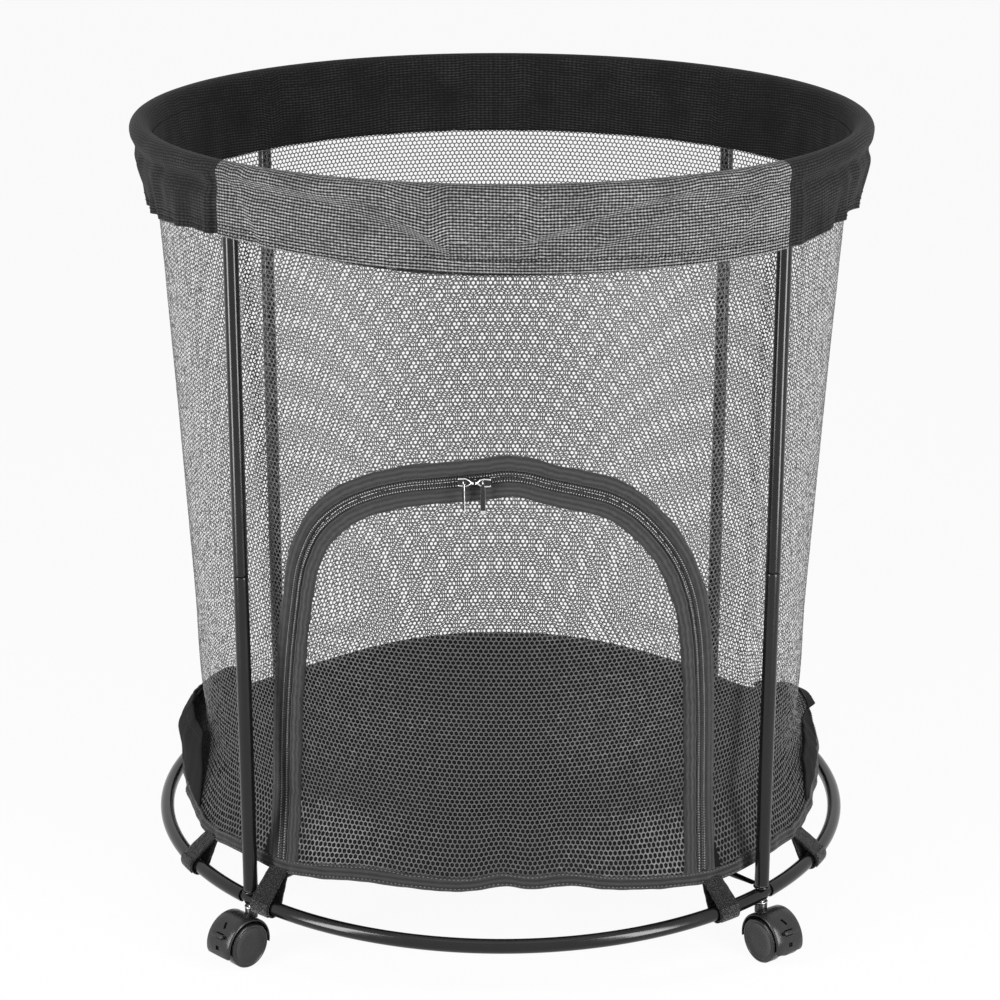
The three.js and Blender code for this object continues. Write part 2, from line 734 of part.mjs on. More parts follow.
function innerTape() {
  const toChain = CHAIN_HALF_WIDTH + GAP;
  const foot = DOOR_FOOT_Z - OVERRUN;
  return doorStrip(
    tapeShell(DOOR_FOOT_Z),
    doorPrism(-toChain, -toChain, foot),
    doorPrism(-TAPE_SIDE, -TAPE_TOP, foot),
  );
}

function doorPanel() {
  const shell = bagShell(FABRIC_THICK, 0, DOOR_FOOT_Z, WALL_HEAD_Z, RING_STEPS);
  return doorStrip(shell, doorPrism(-TAPE_SIDE - GAP, -TAPE_TOP - GAP, DOOR_FOOT_Z - OVERRUN));
}

// Zip sliders, modelled with +X along the zip, -Y away from the bag and the seam at height 0.
// The web passes through the seam between the two rows of teeth to a back plate on the door's side.

const CHAIN_FACE_R = wallRadius(DOOR_TOP_Z) + (CHAIN_THICK - FABRIC_THICK) / 2;
const PULL_BAR_Y = -CHAIN_FACE_R - SLIDER_CLEAR - SLIDER_PLATE - LUG_REACH + PULL_BAR_D;

function slider() {
  const frontY = -CHAIN_FACE_R - SLIDER_CLEAR - SLIDER_PLATE / 2;
  const backY = -CHAIN_FACE_R + CHAIN_THICK + SLIDER_CLEAR + SLIDER_PLATE / 2;
  const backHeight = SLIDER_HEIGHT / 2 + SLIDER_WEB / 2;
  const backZ = SLIDER_WEB / 2 - backHeight / 2;
  const lugX = PULL_WIDTH / 2 + GAP + LUG_THICK / 2;
  const lugY = frontY - LUG_REACH / 2;
  const bar = new THREE.CylinderGeometry(
    PULL_BAR_D / 2,
    PULL_BAR_D / 2,
    2 * lugX,
    PIN_SIDES,
  ).rotateZ(Math.PI / 2);
  return join(
    box(SLIDER_LENGTH, SLIDER_PLATE, SLIDER_HEIGHT, 0, frontY, 0),
    box(SLIDER_WEB_LENGTH, backY - frontY, SLIDER_WEB, 0, (frontY + backY) / 2, 0),
    box(SLIDER_LENGTH, SLIDER_PLATE, backHeight, 0, backY, backZ),
    box(LUG_THICK, LUG_REACH, LUG_HEIGHT, -lugX, lugY, 0),
    box(LUG_THICK, LUG_REACH, LUG_HEIGHT, lugX, lugY, 0),
    bar.translate(0, PULL_BAR_Y, 0),
  );
}

function pull() {
  const eye = new THREE.CylinderGeometry(PULL_EYE_D / 2, PULL_EYE_D / 2, PULL_WIDTH, PIN_SIDES);
  const hole = new THREE.CylinderGeometry(
    PULL_BAR_D / 2 + GAP,
    PULL_BAR_D / 2 + GAP,
    PULL_WIDTH + 2 * OVERRUN,
    PIN_SIDES,
  );
  const tab = box(PULL_WIDTH, PULL_THICK, PULL_LENGTH, 0, 0, -PULL_LENGTH / 2);
  return cut(join(eye.rotateZ(Math.PI / 2), tab), hole.rotateZ(Math.PI / 2)).translate(0, PULL_BAR_Y, 0);
}

// Straps: a loop round the base ring that comes to an edge under the hem

// The outline of a loop round a circle that is drawn out to one or two tips.
function loopOutline(centreX, centreZ, radius, tips) {
  const [tipX, tipZ] = tips[0];
  const distance = Math.hypot(tipX - centreX, tipZ - centreZ);
  const towards = THREE.MathUtils.radToDeg(Math.atan2(tipZ - centreZ, tipX - centreX));
  const opening = THREE.MathUtils.radToDeg(Math.acos(radius / distance));
  const round = arcPoints(centreX, centreZ, radius, towards + opening, towards + 360 - opening, LOOP_STEPS);
  return [tips[0], ...round, ...tips.slice(1)];
}

// A strap across the azimuth 0, to be turned to its place.
function strap() {
  const innerR = (TUBE_R + STRAP_CLEAR) / Math.cos(Math.PI / (2 * LOOP_STEPS));
  const outerR = innerR + STRAP_THICK;
  const tipZ = HEM_BOTTOM_Z - GAP;
  const hemOutR = BAG_FOOT_R + HEM_FLARE;
  const tips = [[hemOutR - HEM_THICK, tipZ], [hemOutR, tipZ]];
  const tipMiddle = hemOutR - HEM_THICK / 2;
  const inward = (2 * STRAP_THICK) / Math.hypot(RING_R - tipMiddle, RING_Z - tipZ);
  const innerTip = [
    tipMiddle + (RING_R - tipMiddle) * inward,
    tipZ + (RING_Z - tipZ) * inward,
  ];
  const outer = loopOutline(RING_R, RING_Z, outerR, tips);
  const inner = loopOutline(RING_R, RING_Z, innerR, [innerTip]);
  const across = (outline, half) => slabAlongY(outline, -half, half).rotateZ(-Math.PI / 2);
  return cut(across(outer, STRAP_WIDTH / 2), across(inner, STRAP_WIDTH / 2 + OVERRUN));
}

// The cart

const group = new THREE.Group();

function piece(name, finish, geometry, parent = group) {
  const material = new THREE.MeshStandardMaterial(FINISHES[finish]);
  const mesh = new THREE.Mesh(geometry, material);
  mesh.name = name;
  parent.add(mesh);
  return mesh;
}

function addFrame() {
  piece("base_arc_front", "tube", pluggedBaseArc(0));
  piece("base_arc_right", "tube", socketBaseArc(90));
  piece("base_arc_rear", "tube", pluggedBaseArc(180));
  piece("base_arc_left", "tube", socketBaseArc(270));
  piece("top_ring_front", "tube", pluggedTopHalf(0));
  piece("top_ring_rear", "tube", socketTopHalf(180));
  for (const { name, azimuth } of POSTS) {
    const place = postPlace(azimuth);
    piece(`post_lower_${name}`, "tube", lowerPost()).position.copy(place);
    piece(`post_upper_${name}`, "tube", upperPost()).position.copy(place);
  }
  const alongPosts = radians(90 - POST_AZIMUTH);
  piece("cross_rod_upper", "tube", crossRod(ROD_BOW)).rotation.z = alongPosts;
  piece("cross_rod_lower", "tube", crossRod(-ROD_BOW)).rotation.z = -alongPosts;
}

function addCasters() {
  for (const { name, azimuth, swivel, braked } of POSTS) {
    const caster = new THREE.Group();
    caster.position.copy(postPlace(azimuth));
    caster.rotation.z = radians(azimuth + swivel - 90);
    group.add(caster);
    piece(`caster_stem_${name}`, "steel", casterStem(), caster);
    piece(`caster_hood_${name}`, "plastic", casterHood(braked), caster);
    piece(`caster_axle_${name}`, "steel", axle(), caster);
    piece(`caster_wheel_${name}_a`, "wheel", wheel(1), caster);
    piece(`caster_wheel_${name}_b`, "wheel", wheel(-1), caster);
    if (braked) {
      piece(`brake_pedal_${name}`, "plastic", brakePedal(), caster);
    }
  }
}

function addBag() {
  piece("bag_band", "band", bagBand());
  piece("bag_wall", "mesh", bagWall());
  piece("bag_hem", "hem", bagHem());
  piece("bag_floor", "hem", bagFloor());
  piece("zip_tape_outer", "hem", outerTape());
  piece("zip_chain_outer", "zip", outerChain());
  for (const { name, azimuth } of STRAPS) {
    piece(`strap_${name}`, "strap", strap()).rotation.z = radians(azimuth);
  }
}

function addDoor() {
  piece("door_panel", "mesh", doorPanel());
  piece("zip_tape_inner", "hem", innerTape());
  piece("zip_chain_inner", "zip", innerChain());
  const apart = degreesAlong((SLIDER_LENGTH + SLIDERS_APART) / 2, CHAIN_FACE_R);
  for (const [name, side] of [["left", -1], ["right", 1]]) {
    const turned = new THREE.Group();
    turned.position.z = DOOR_TOP_Z;
    turned.rotation.z = radians(BAG_TURN_DEG + SLIDERS_MEET_DEG + side * apart);
    group.add(turned);
    piece(`zip_slider_${name}`, "slider", slider(), turned);
    piece(`zip_pull_${name}`, "slider", pull(), turned);
  }
}

addFrame();
addCasters();
addBag();
addDoor();

export default group;
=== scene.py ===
"""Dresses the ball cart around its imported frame.

Each sub-assembly is a class that builds and finishes its own pieces: the tube frame, the casters, the
fabric band over the top ring, the netted bag with its zipped door, the straps that hold the bag to the
base ring, and the studio. Lengths are in metres and angles in degrees. The origin is on the floor under
the middle of the cart and +Z is up. An azimuth is seen from above: 0 at the front, -Y, and 90 on the
right, +X.
"""

import logging
import math
from dataclasses import dataclass, field
from enum import Enum
from typing import Any, Sequence

import bmesh
import bpy
import numpy as np
from mathutils import Matrix, Vector


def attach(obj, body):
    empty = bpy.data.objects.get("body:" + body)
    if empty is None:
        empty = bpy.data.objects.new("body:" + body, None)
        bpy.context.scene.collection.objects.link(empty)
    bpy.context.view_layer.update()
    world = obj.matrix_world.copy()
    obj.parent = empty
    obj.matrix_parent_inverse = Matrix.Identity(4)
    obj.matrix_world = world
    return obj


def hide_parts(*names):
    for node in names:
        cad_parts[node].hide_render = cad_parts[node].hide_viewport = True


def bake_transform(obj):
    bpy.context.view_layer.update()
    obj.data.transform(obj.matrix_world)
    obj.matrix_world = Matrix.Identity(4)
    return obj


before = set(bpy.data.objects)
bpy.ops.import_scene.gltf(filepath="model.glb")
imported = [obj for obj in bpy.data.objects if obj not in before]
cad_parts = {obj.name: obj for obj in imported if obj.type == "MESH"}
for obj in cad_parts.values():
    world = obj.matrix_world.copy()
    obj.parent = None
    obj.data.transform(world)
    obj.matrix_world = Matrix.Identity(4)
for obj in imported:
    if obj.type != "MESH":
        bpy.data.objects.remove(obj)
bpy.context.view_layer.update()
LOG = logging.getLogger("ball_cart")
Array = np.ndarray
Piece = bpy.types.Object
Socket = bpy.types.NodeSocket
Pair = tuple[float, float]

RING_R = 0.3
RING_Z = 0.052
TOP_Z = 0.662
TUBE_R = 0.006
BAG_TURN = -2.6
POST_AZIMUTHS = {"front_left": -45.0, "front_right": 45.0, "rear_right": 135.0, "rear_left": 225.0}


# Points and curves


def polar(radius: Any, azimuth: Any, height: Any) -> Array:
    """Places points round the cart's axis.

    Args:
        radius: Distance from the axis.
        azimuth: Degrees from the front towards the right.
        height: Height above the floor.

    Returns:
        The points, with x, y and z along the last axis.
    """
    radius, angle, height = np.broadcast_arrays(radius, np.radians(azimuth), height)
    return np.stack([radius * np.sin(angle), -radius * np.cos(angle), height], axis=-1)


def unit(vectors: Array) -> Array:
    """Returns the vectors at length 1."""
    return vectors / np.maximum(np.linalg.norm(vectors, axis=-1, keepdims=True), 1e-12)


def distances(points: Array) -> Array:
    """Returns how far along an open line each of its points is."""
    steps = np.linalg.norm(np.diff(points, axis=0), axis=1)
    return np.concatenate([[0.0], np.cumsum(steps)])


def sample(points: Array, at: Array, where: Array | None = None) -> Array:
    """Reads values along a line.

    Args:
        points: Values at the line's points, one row each.
        at: Distances along the line to read at.
        where: Distance of each row along the line, or None where the rows are the line's own points.

    Returns:
        One row for each distance.
    """
    where = distances(points) if where is None else where
    return np.stack([np.interp(at, where, column) for column in points.T], axis=-1)


def flowing(knots: Sequence[float], values: Sequence[float], at: Any, period: float = 0.0) -> Array:
    """Reads a smooth curve that passes through given values.

    Args:
        knots: Rising places of the given values.
        values: The value at each knot.
        at: Places to read at.
        period: Length after which the curve repeats, or 0 for one that ends at its last knot.

    Returns:
        The curve's values.
    """
    place, value, at = np.asarray(knots, float), np.asarray(values, float), np.asarray(at, float)
    if period:
        at = np.mod(at - place[0], period) + place[0]
        place = np.concatenate([[place[-1] - period], place, place[:2] + period])
        value = np.concatenate([[value[-1]], value, value[:2]])
    slope = np.gradient(value, place)
    i = np.clip(np.searchsorted(place, at, side="right") - 1, 0, len(place) - 2)
    span = place[i + 1] - place[i]
    t = np.clip((at - place[i]) / span, 0.0, 1.0)
    rise = t * t * (3.0 - 2.0 * t)
    bend = t * (1.0 - t) * span
    return value[i] * (1.0 - rise) + value[i + 1] * rise + bend * (slope[i] * (1.0 - t) - slope[i + 1] * t)


def flowing_line(points: Sequence[Sequence[float]], step: float) -> Array:
    """Draws a smooth open line through points and divides it evenly.

    Args:
        points: The points that it passes through.
        step: About how far apart its own points are.

    Returns:
        The line's points.
    """
    knots = np.asarray(points, float)
    at = distances(knots)
    fine = np.linspace(0.0, at[-1], 40 * len(knots))
    dense = np.stack([flowing(at, column, fine) for column in knots.T], axis=-1)
    total = distances(dense)[-1]
    return sample(dense, np.linspace(0.0, total, max(2, int(round(total / step)) + 1)))


def ripple(*waves: tuple[Any, float, float]) -> Array:
    """Adds sine waves, each given as its phase in radians, its size and its shift."""
    return sum(size * np.sin(phase + shift) for phase, size, shift in waves)


def half_turn(azimuth: Any) -> Array:
    """Returns azimuths brought to between -180 and 180."""
    return (np.asarray(azimuth) + 180.0) % 360.0 - 180.0


def bell(distance: Any, width: Any) -> Array:
    """Returns 1 where there is no distance, falling off to 0 on both sides as a bell curve."""
    return np.exp(-((distance / width) ** 2))


def ramp(value: Any) -> Array:
    """Returns values held between 0 and 1."""
    return np.clip(value, 0.0, 1.0)


def swept_flat(along: Array, sections: Array) -> Array:
    """Returns flat places on a swept form: how far along its line and how far round its section."""
    girth = np.linalg.norm(np.roll(sections, -1, axis=1) - sections, axis=2)
    around = np.cumsum(girth, axis=1) - girth
    return np.stack([np.broadcast_to(along[:, None], around.shape), around], axis=-1)


def round_flat(points: Array, azimuth: Array, radius: float) -> Array:
    """Returns flat places on a grid round the cart: along it at a radius, and up its surface."""
    steps = np.linalg.norm(np.diff(points, axis=0), axis=2)
    up = np.concatenate([np.zeros((1, points.shape[1])), np.cumsum(steps, axis=0)])
    return np.stack([np.broadcast_to(np.radians(azimuth) * radius, up.shape), up], axis=-1)


# Meshes


def mesh_piece(
    name: str, points: Array, face_sets: Sequence[Array], uv: Array | None = None, smooth: bool = True
) -> Piece:
    """Makes a mesh object from arrays.

    Args:
        name: The piece's name.
        points: Its vertices.
        face_sets: Arrays of faces, each array with one number of corners.
        uv: Flat place of each vertex in metres, for the weave, or None.
        smooth: Whether its faces are shaded smooth.

    Returns:
        The object, linked to the scene.
    """
    points = np.asarray(points, np.float32).reshape(-1, 3)
    faces = [np.asarray(f, np.int32) for f in face_sets if len(f)]
    corners = np.concatenate([f.ravel() for f in faces])
    counts = np.concatenate([np.full(len(f), f.shape[1], np.int32) for f in faces])
    mesh = bpy.data.meshes.new(name)
    mesh.vertices.add(len(points))
    mesh.vertices.foreach_set("co", points.ravel())
    mesh.loops.add(len(corners))
    mesh.loops.foreach_set("vertex_index", corners)
    mesh.polygons.add(len(counts))
    mesh.polygons.foreach_set("loop_start", np.cumsum(counts) - counts)
    mesh.polygons.foreach_set("use_smooth", np.full(len(counts), smooth))
    if uv is not None:
        layer = mesh.uv_layers.new(name="cloth")
        layer.uv.foreach_set("vector", np.asarray(uv, np.float32).reshape(-1, 2)[corners].ravel())
    mesh.update(calc_edges=True)
    mesh.validate()
    piece = bpy.data.objects.new(name, mesh)
    bpy.context.scene.collection.objects.link(piece)
    return piece


def grid_faces(rows: int, columns: int, wrap_rows: bool = False, wrap_columns: bool = False) -> Array:
    """Lists the quads of a grid of points, rows first, whose front is right-handed (columns, then rows)."""
    r = np.arange(rows if wrap_rows else rows - 1)
    c = np.arange(columns if wrap_columns else columns - 1)
    row, column = np.meshgrid(r, c, indexing="ij")
    row, column = row.ravel(), column.ravel()
    up, right = (row + 1) % rows, (column + 1) % columns
    corners = [row * columns + column, row * columns + right, up * columns + right, up * columns + column]
    return np.stack(corners, axis=-1)


def end_caps(rows: int, columns: int) -> Array:
    """Lists the two many-sided faces that close a swept section's first and last row."""
    first = np.arange(columns)[::-1]
    last = (rows - 1) * columns + np.arange(columns)
    return np.stack([first, last])


def closed_faces(rows: int, columns: int) -> list[Array]:
    """Lists the faces of a closed section's rows and of its two ends."""
    return [grid_faces(rows, columns, False, True), end_caps(rows, columns)]


def swept(name: str, path: Array, section: Array, ups: Array, closed: bool = False) -> Piece:
    """Sweeps a closed section along a line.

    Args:
        name: The piece's name.
        path: The line's points.
        section: The section's points as (across, up), anticlockwise seen against the line's direction,
            either one for the whole line or one for each of its points.
        ups: The section's up direction at each point, or one for all.
        closed: Whether the line joins up with its start. Otherwise its ends are closed.

    Returns:
        The object.
    """
    path = np.asarray(path, float)
    count = len(path)
    if closed:
        forward = unit(np.roll(path, -1, axis=0) - np.roll(path, 1, axis=0))
    else:
        forward = unit(np.gradient(path, axis=0))
    up = np.broadcast_to(np.asarray(ups, float), path.shape)
    up = unit(up - forward * np.sum(up * forward, axis=1, keepdims=True))
    across = np.cross(forward, up)
    section = np.broadcast_to(section, (count,) + np.shape(section)[-2:])
    points = path[:, None] + across[:, None] * section[..., :1] + up[:, None] * section[..., 1:]
    sides = section.shape[1]
    faces = [grid_faces(count, sides, True, True)] if closed else closed_faces(count, sides)
    return mesh_piece(name, points, faces, swept_flat(distances(path), section))


def disc(radius: float, sides: int) -> Array:
    """Returns the points of a circle in its own plane."""
    angle = np.linspace(0.0, 2.0 * np.pi, sides, endpoint=False)
    return radius * np.stack([np.cos(angle), np.sin(angle)], axis=-1)


def turned(name: str, profile: Sequence[Sequence[float]], sides: int) -> Piece:
    """Turns a profile about the Z axis.

    Args:
        name: The piece's name.
        profile: Points as (radius, height). The ends may lie on the axis. It runs upwards outside.
        sides: Steps round the axis.

    Returns:
        The object.
    """
    line = np.asarray(profile, float)
    angle = np.linspace(0.0, 2.0 * np.pi, sides, endpoint=False)
    heights = np.broadcast_to(line[:, 1:], (len(line), sides))
    rows = np.stack([line[:, :1] * np.cos(angle), line[:, :1] * np.sin(angle), heights], axis=-1)
    piece = mesh_piece(name, rows, [grid_faces(len(line), sides, False, True)])
    weld(piece)
    return piece


def weld(piece: Piece, distance: float = 1e-6) -> None:
    """Joins the vertices of a piece that lie on each other."""
    modifier = piece.modifiers.new("weld", "WELD")
    modifier.merge_threshold = distance
    settle(piece)


def settle(piece: Piece) -> Piece:
    """Applies a piece's modifiers to its mesh and returns the piece."""
    shape = piece.evaluated_get(bpy.context.evaluated_depsgraph_get())
    mesh = bpy.data.meshes.new_from_object(shape)
    old = piece.data
    piece.modifiers.clear()
    piece.data = mesh
    mesh.name = piece.name
    bpy.data.meshes.remove(old)
    return piece


def thicken(piece: Piece, thickness: float, offset: float = -1.0) -> Piece:
    """Gives a sheet its thickness, inwards from its front unless offset says otherwise."""
    modifier = piece.modifiers.new("thickness", "SOLIDIFY")
    modifier.thickness = thickness
    modifier.offset = offset
    return settle(piece)


def crisp(piece: Piece, degrees: float) -> Piece:
    """Keeps a piece's edges sharp where its faces meet at more than an angle, and returns the piece."""
    piece.data.set_sharp_from_angle(angle=math.radians(degrees))
    return piece


def soften(piece: Piece, width: float, segments: int = 2) -> Piece:
    """Rounds a hard piece's sharp edges."""
    modifier = piece.modifiers.new("rounding", "BEVEL")
    modifier.width = width
    modifier.segments = segments
    modifier.limit_method = "ANGLE"
    modifier.angle_limit = math.radians(30.0)
    return crisp(settle(piece), 40.0)


def block(name: str, size: Sequence[float], centre: Sequence[float]) -> Piece:
    """Makes a box of quads, to be rounded or used to cut."""
    half = np.asarray(size, float) / 2.0
    signs = np.array([[x, y, z] for z in (-1, 1) for y in (-1, 1) for x in (-1, 1)], float)
    faces = [[0, 2, 3, 1], [4, 5, 7, 6], [0, 1, 5, 4], [2, 6, 7, 3], [0, 4, 6, 2], [1, 3, 7, 5]]
    return mesh_piece(name, signs * half + np.asarray(centre, float), [np.array(faces)], smooth=False)


def carve(piece: Piece, cutters: Sequence[Piece]) -> Piece:
    """Cuts other solids out of a piece and removes them."""
    for cutter in cutters:
        modifier = piece.modifiers.new("cut", "BOOLEAN")
        modifier.operation = "DIFFERENCE"
        modifier.object = cutter
    settle(piece)
    for cutter in cutters:
        remove(cutter)
    return piece


def remove(piece: Piece) -> None:
    """Deletes a piece and its mesh."""
    mesh = piece.data
    bpy.data.objects.remove(piece)
    bpy.data.meshes.remove(mesh)


def face_out(piece: Piece) -> None:
    """Turns a closed piece's faces outwards."""
    shape = bmesh.new()
    shape.from_mesh(piece.data)
    bmesh.ops.recalc_face_normals(shape, faces=shape.faces)
    shape.to_mesh(piece.data)
    shape.free()


def merged(name: str, pieces: Sequence[Piece]) -> Piece:
    """Joins pieces into the first one, which takes the name."""
    with bpy.context.temp_override(active_object=pieces[0], selected_editable_objects=list(pieces)):
        bpy.ops.object.join()
    pieces[0].name = name
    pieces[0].data.name = name
    return pieces[0]


def stitch_row(
    name: str,
    line: Array,
    normals: Array,
    length: float = 0.0024,
    gap: float = 0.0012,
    radius: float = 0.00035,
) -> Piece:
    """Sews a row of thread stitches along a line on cloth.

    Args:
        name: The piece's name.
        line: Points of the seam, on the cloth.
        normals: The cloth's outward direction at each point.
        length: How long one stitch is.
        gap: How far the next one starts after it.
        radius: Half the thread's thickness.

    Returns:
        The object.
    """
    where = distances(line)
    starts = np.arange(gap, where[-1] - length, length + gap)
    first, last = sample(line, starts), sample(line, starts + length)
    out = unit(sample(normals, starts + length / 2.0, where))
    middle = (first + last) / 2.0 + out * radius * 0.6
    side = unit(np.cross(out, last - first))
    ring = [middle + side * radius, middle + out * radius, middle - side * radius, middle - out * radius]
    points = np.stack([first - out * radius, last - out * radius, *ring], axis=1)
    faces = [[0, 2 + (k + 1) % 4, 2 + k] for k in range(4)] + [[1, 2 + k, 2 + (k + 1) % 4] for k in range(4)]
    shift = 6 * np.arange(len(starts))[:, None, None]
    return mesh_piece(name, points, [(np.array(faces)[None] + shift).reshape(-1, 3)])


# Finishes


def shade(level: float, tint: Sequence[float] = (1.0, 1.0, 1.0)) -> tuple[float, float, float, float]:
    """Returns the scene colour of a grey given as it shows on a screen, 0 to 255, with a tint."""
    value = level / 255.0
    linear = value / 12.92 if value <= 0.04045 else ((value + 0.055) / 1.055) ** 2.4
    return (linear * tint[0], linear * tint[1], linear * tint[2], 1.0)


class Paint:
    """One material's shader nodes, added and joined by short calls."""

    def __init__(self, name: str, color: Sequence[float], roughness: float, **sockets: Any) -> None:
        """Makes a material.

        Args:
            name: The material's name.
            color: Its base colour.
            roughness: Its base roughness.
            sockets: Other values of the shader's own sockets, by name with _ for a space.
        """
        self.material = bpy.data.materials.new(name)
        self.material.use_nodes = True
        self.tree = self.material.node_tree
        self.shader = next(n for n in self.tree.nodes if n.type == "BSDF_PRINCIPLED")
        self.shader.inputs["Base Color"].default_value = color
        self.shader.inputs["Roughness"].default_value = roughness
        for socket, value in sockets.items():
            self.shader.inputs[socket.replace("_", " ")].default_value = value
        self.color, self.roughness = tuple(color), roughness

    def node(self, kind: str, inputs: dict[Any, Any] | None = None, **settings: Any) -> bpy.types.Node:
        """Adds a node.

        Args:
            kind: The node's type.
            inputs: Values or outputs of other nodes for its sockets, by name or number.
            settings: Other properties of the node.

        Returns:
            The node.
        """
        made = self.tree.nodes.new(kind)
        for name, value in settings.items():
            setattr(made, name, value)
        for socket, value in (inputs or {}).items():
            self.put(made.inputs[socket], value)
        return made

    def put(self, socket: Socket, value: Any) -> None:
        """Joins an output to a socket, or sets the socket's own value."""
        if isinstance(value, Socket):
            self.tree.links.new(value, socket)
        else:
            socket.default_value = value

    def math(self, operation: str, a: Any, b: Any = 0.0) -> Socket:
        """Adds a math node and returns its output."""
        return self.node("ShaderNodeMath", {0: a, 1: b}, operation=operation).outputs[0]

    def wave(self, place: Any, radians_per_metre: float) -> Socket:
        """Adds a sine wave along a place in metres."""
        return self.math("SINE", self.math("MULTIPLY", place, radians_per_metre))

    def mix(self, share: Any, a: Any, b: Any) -> Socket:
        """Mixes two colours by a share and returns the colour."""
        return self.node("ShaderNodeMix", {0: share, 6: a, 7: b}, data_type="RGBA").outputs[2]

    def place(self) -> Socket:
        """Returns the point on the object, in metres."""
        return self.node("ShaderNodeTexCoord").outputs["Object"]

    def cloth(self) -> tuple[Socket, Socket, Socket]:
        """Returns the place on the flat cloth in metres, as a point, its first and its second number."""
        flat = self.node("ShaderNodeUVMap", uv_map="cloth").outputs[0]
        parts = self.node("ShaderNodeSeparateXYZ", {0: flat})
        return flat, parts.outputs[0], parts.outputs[1]

    def noise(self, per_metre: float, detail: float = 3.0, where: Any = None) -> Socket:
        """Adds a noise of a given fineness and returns its value, about 0.5."""
        where = self.place() if where is None else where
        inputs = {"Vector": where, "Scale": per_metre, "Detail": detail, "Roughness": 0.6}
        return self.node("ShaderNodeTexNoise", inputs).outputs[0]

    def between(
        self, value: Any, low: float, high: float, to_low: float, to_high: float
    ) -> Socket:
        """Maps a value from one range to another, held at its ends."""
        inputs = {0: value, 1: low, 2: high, 3: to_low, 4: to_high}
        return self.node("ShaderNodeMapRange", inputs).outputs[0]

    def relief(self, height: Any, depth: float, strength: float = 1.0) -> None:
        """Adds a bump of a given depth to the shader, on top of one that it has."""
        old = self.shader.inputs["Normal"].links
        inputs = {"Height": height, "Distance": depth, "Strength": strength}
        if old:
            inputs["Normal"] = old[0].from_socket
        self.put(self.shader.inputs["Normal"], self.node("ShaderNodeBump", inputs).outputs[0])

    def tinted(self, value: Any, dark: float, light: float) -> None:
        """Varies the base colour between two brightnesses by a value from 0 to 1."""
        low = tuple(c * dark for c in self.color[:3]) + (1.0,)
        high = tuple(c * light for c in self.color[:3]) + (1.0,)
        self.put(self.shader.inputs["Base Color"], self.mix(value, low, high))

    def rubbed(self, value: Any, spread: float) -> None:
        """Varies the roughness by a value from 0 to 1."""
        low, high = self.roughness - spread, self.roughness + spread
        self.put(self.shader.inputs["Roughness"], self.between(value, 0.3, 0.7, low, high))


@dataclass(frozen=True)
class TubeCoat:
    """Black powder coat with a faint orange peel."""

    level: float = 12.0
    roughness: float = 0.18
    peel_per_metre: float = 900.0

    def material(self) -> bpy.types.Material:
        """Makes the coat."""
        color = shade(self.level, (1.0, 1.0, 1.02))
        paint = Paint("powder_coat", color, self.roughness, Specular_IOR_Level=0.38)
        patches = paint.noise(45.0)
        paint.tinted(patches, 0.75, 1.25)
        paint.rubbed(patches, 0.04)
        paint.relief(paint.noise(self.peel_per_metre, 2.0), 0.00003, 0.4)
        return paint.material


@dataclass(frozen=True)
class BareMetal:
    """Plated or cut steel with fine wear."""

    name: str
    level: float = 205.0
    roughness: float = 0.24

    def material(self) -> bpy.types.Material:
        """Makes the metal."""
        paint = Paint(self.name, shade(self.level, (1.0, 0.99, 0.97)), self.roughness, Metallic=1.0)
        streaks = paint.noise(700.0, 4.0)
        paint.tinted(streaks, 0.7, 1.15)
        paint.rubbed(streaks, 0.1)
        paint.relief(streaks, 0.00003, 0.4)
        return paint.material


@dataclass(frozen=True)
class MouldedPlastic:
    """Dark moulded plastic with a spark-eroded grain."""

    name: str
    level: float
    roughness: float
    grain_per_metre: float = 2600.0

    def material(self) -> bpy.types.Material:
        """Makes the plastic."""
        paint = Paint(self.name, shade(self.level), self.roughness, Specular_IOR_Level=0.4)
        paint.tinted(paint.noise(120.0), 0.8, 1.2)
        paint.rubbed(paint.noise(260.0), 0.08)
        paint.relief(paint.noise(self.grain_per_metre, 2.0), 0.00008, 0.55)
        return paint.material


@dataclass(frozen=True)
class PlainWeave:
    """Open cloth of light threads, strongest along the band, over a dark ground."""

    name: str
    thread_level: float
    ground_level: float
    pitch_along: float
    pitch_up: float
    mottle: float = 0.25
    sheen: float = 0.1
    row_share: float = 0.62

    def material(self) -> bpy.types.Material:
        """Makes the cloth."""
        thread, ground = shade(self.thread_level), shade(self.ground_level)
        paint = Paint(self.name, thread, 0.85, Sheen_Weight=self.sheen, Specular_IOR_Level=0.2)
        paint.shader.inputs["Sheen Roughness"].default_value = 0.5
        flat, along, up = paint.cloth()
        turn = 2.0 * math.pi
        wave_along = paint.wave(along, turn / self.pitch_along)
        wave_up = paint.wave(up, turn / self.pitch_up)
        rows = paint.math("MULTIPLY", wave_up, self.row_share)
        crossing = paint.math("ADD", rows, paint.math("MULTIPLY", wave_along, 1.0 - self.row_share))
        threads = paint.between(crossing, -0.12, 0.28, 0.0, 1.0)
        slub = paint.noise(420.0, 3.0, flat)
        patches = paint.noise(24.0, 3.0, flat)
        lit = paint.math("MULTIPLY", threads, paint.between(slub, 0.35, 0.65, 0.3, 1.0))
        color = paint.mix(lit, ground, thread)
        worn = paint.between(patches, 0.3, 0.7, 1.0 - self.mottle, 1.0 + self.mottle)
        scaled = paint.node("ShaderNodeVectorMath", {0: color, "Scale": worn}, operation="SCALE").outputs[0]
        paint.put(paint.shader.inputs["Base Color"], scaled)
        paint.relief(crossing, 0.00018, 0.7)
        paint.relief(patches, 0.0012, 0.25)
        return paint.material


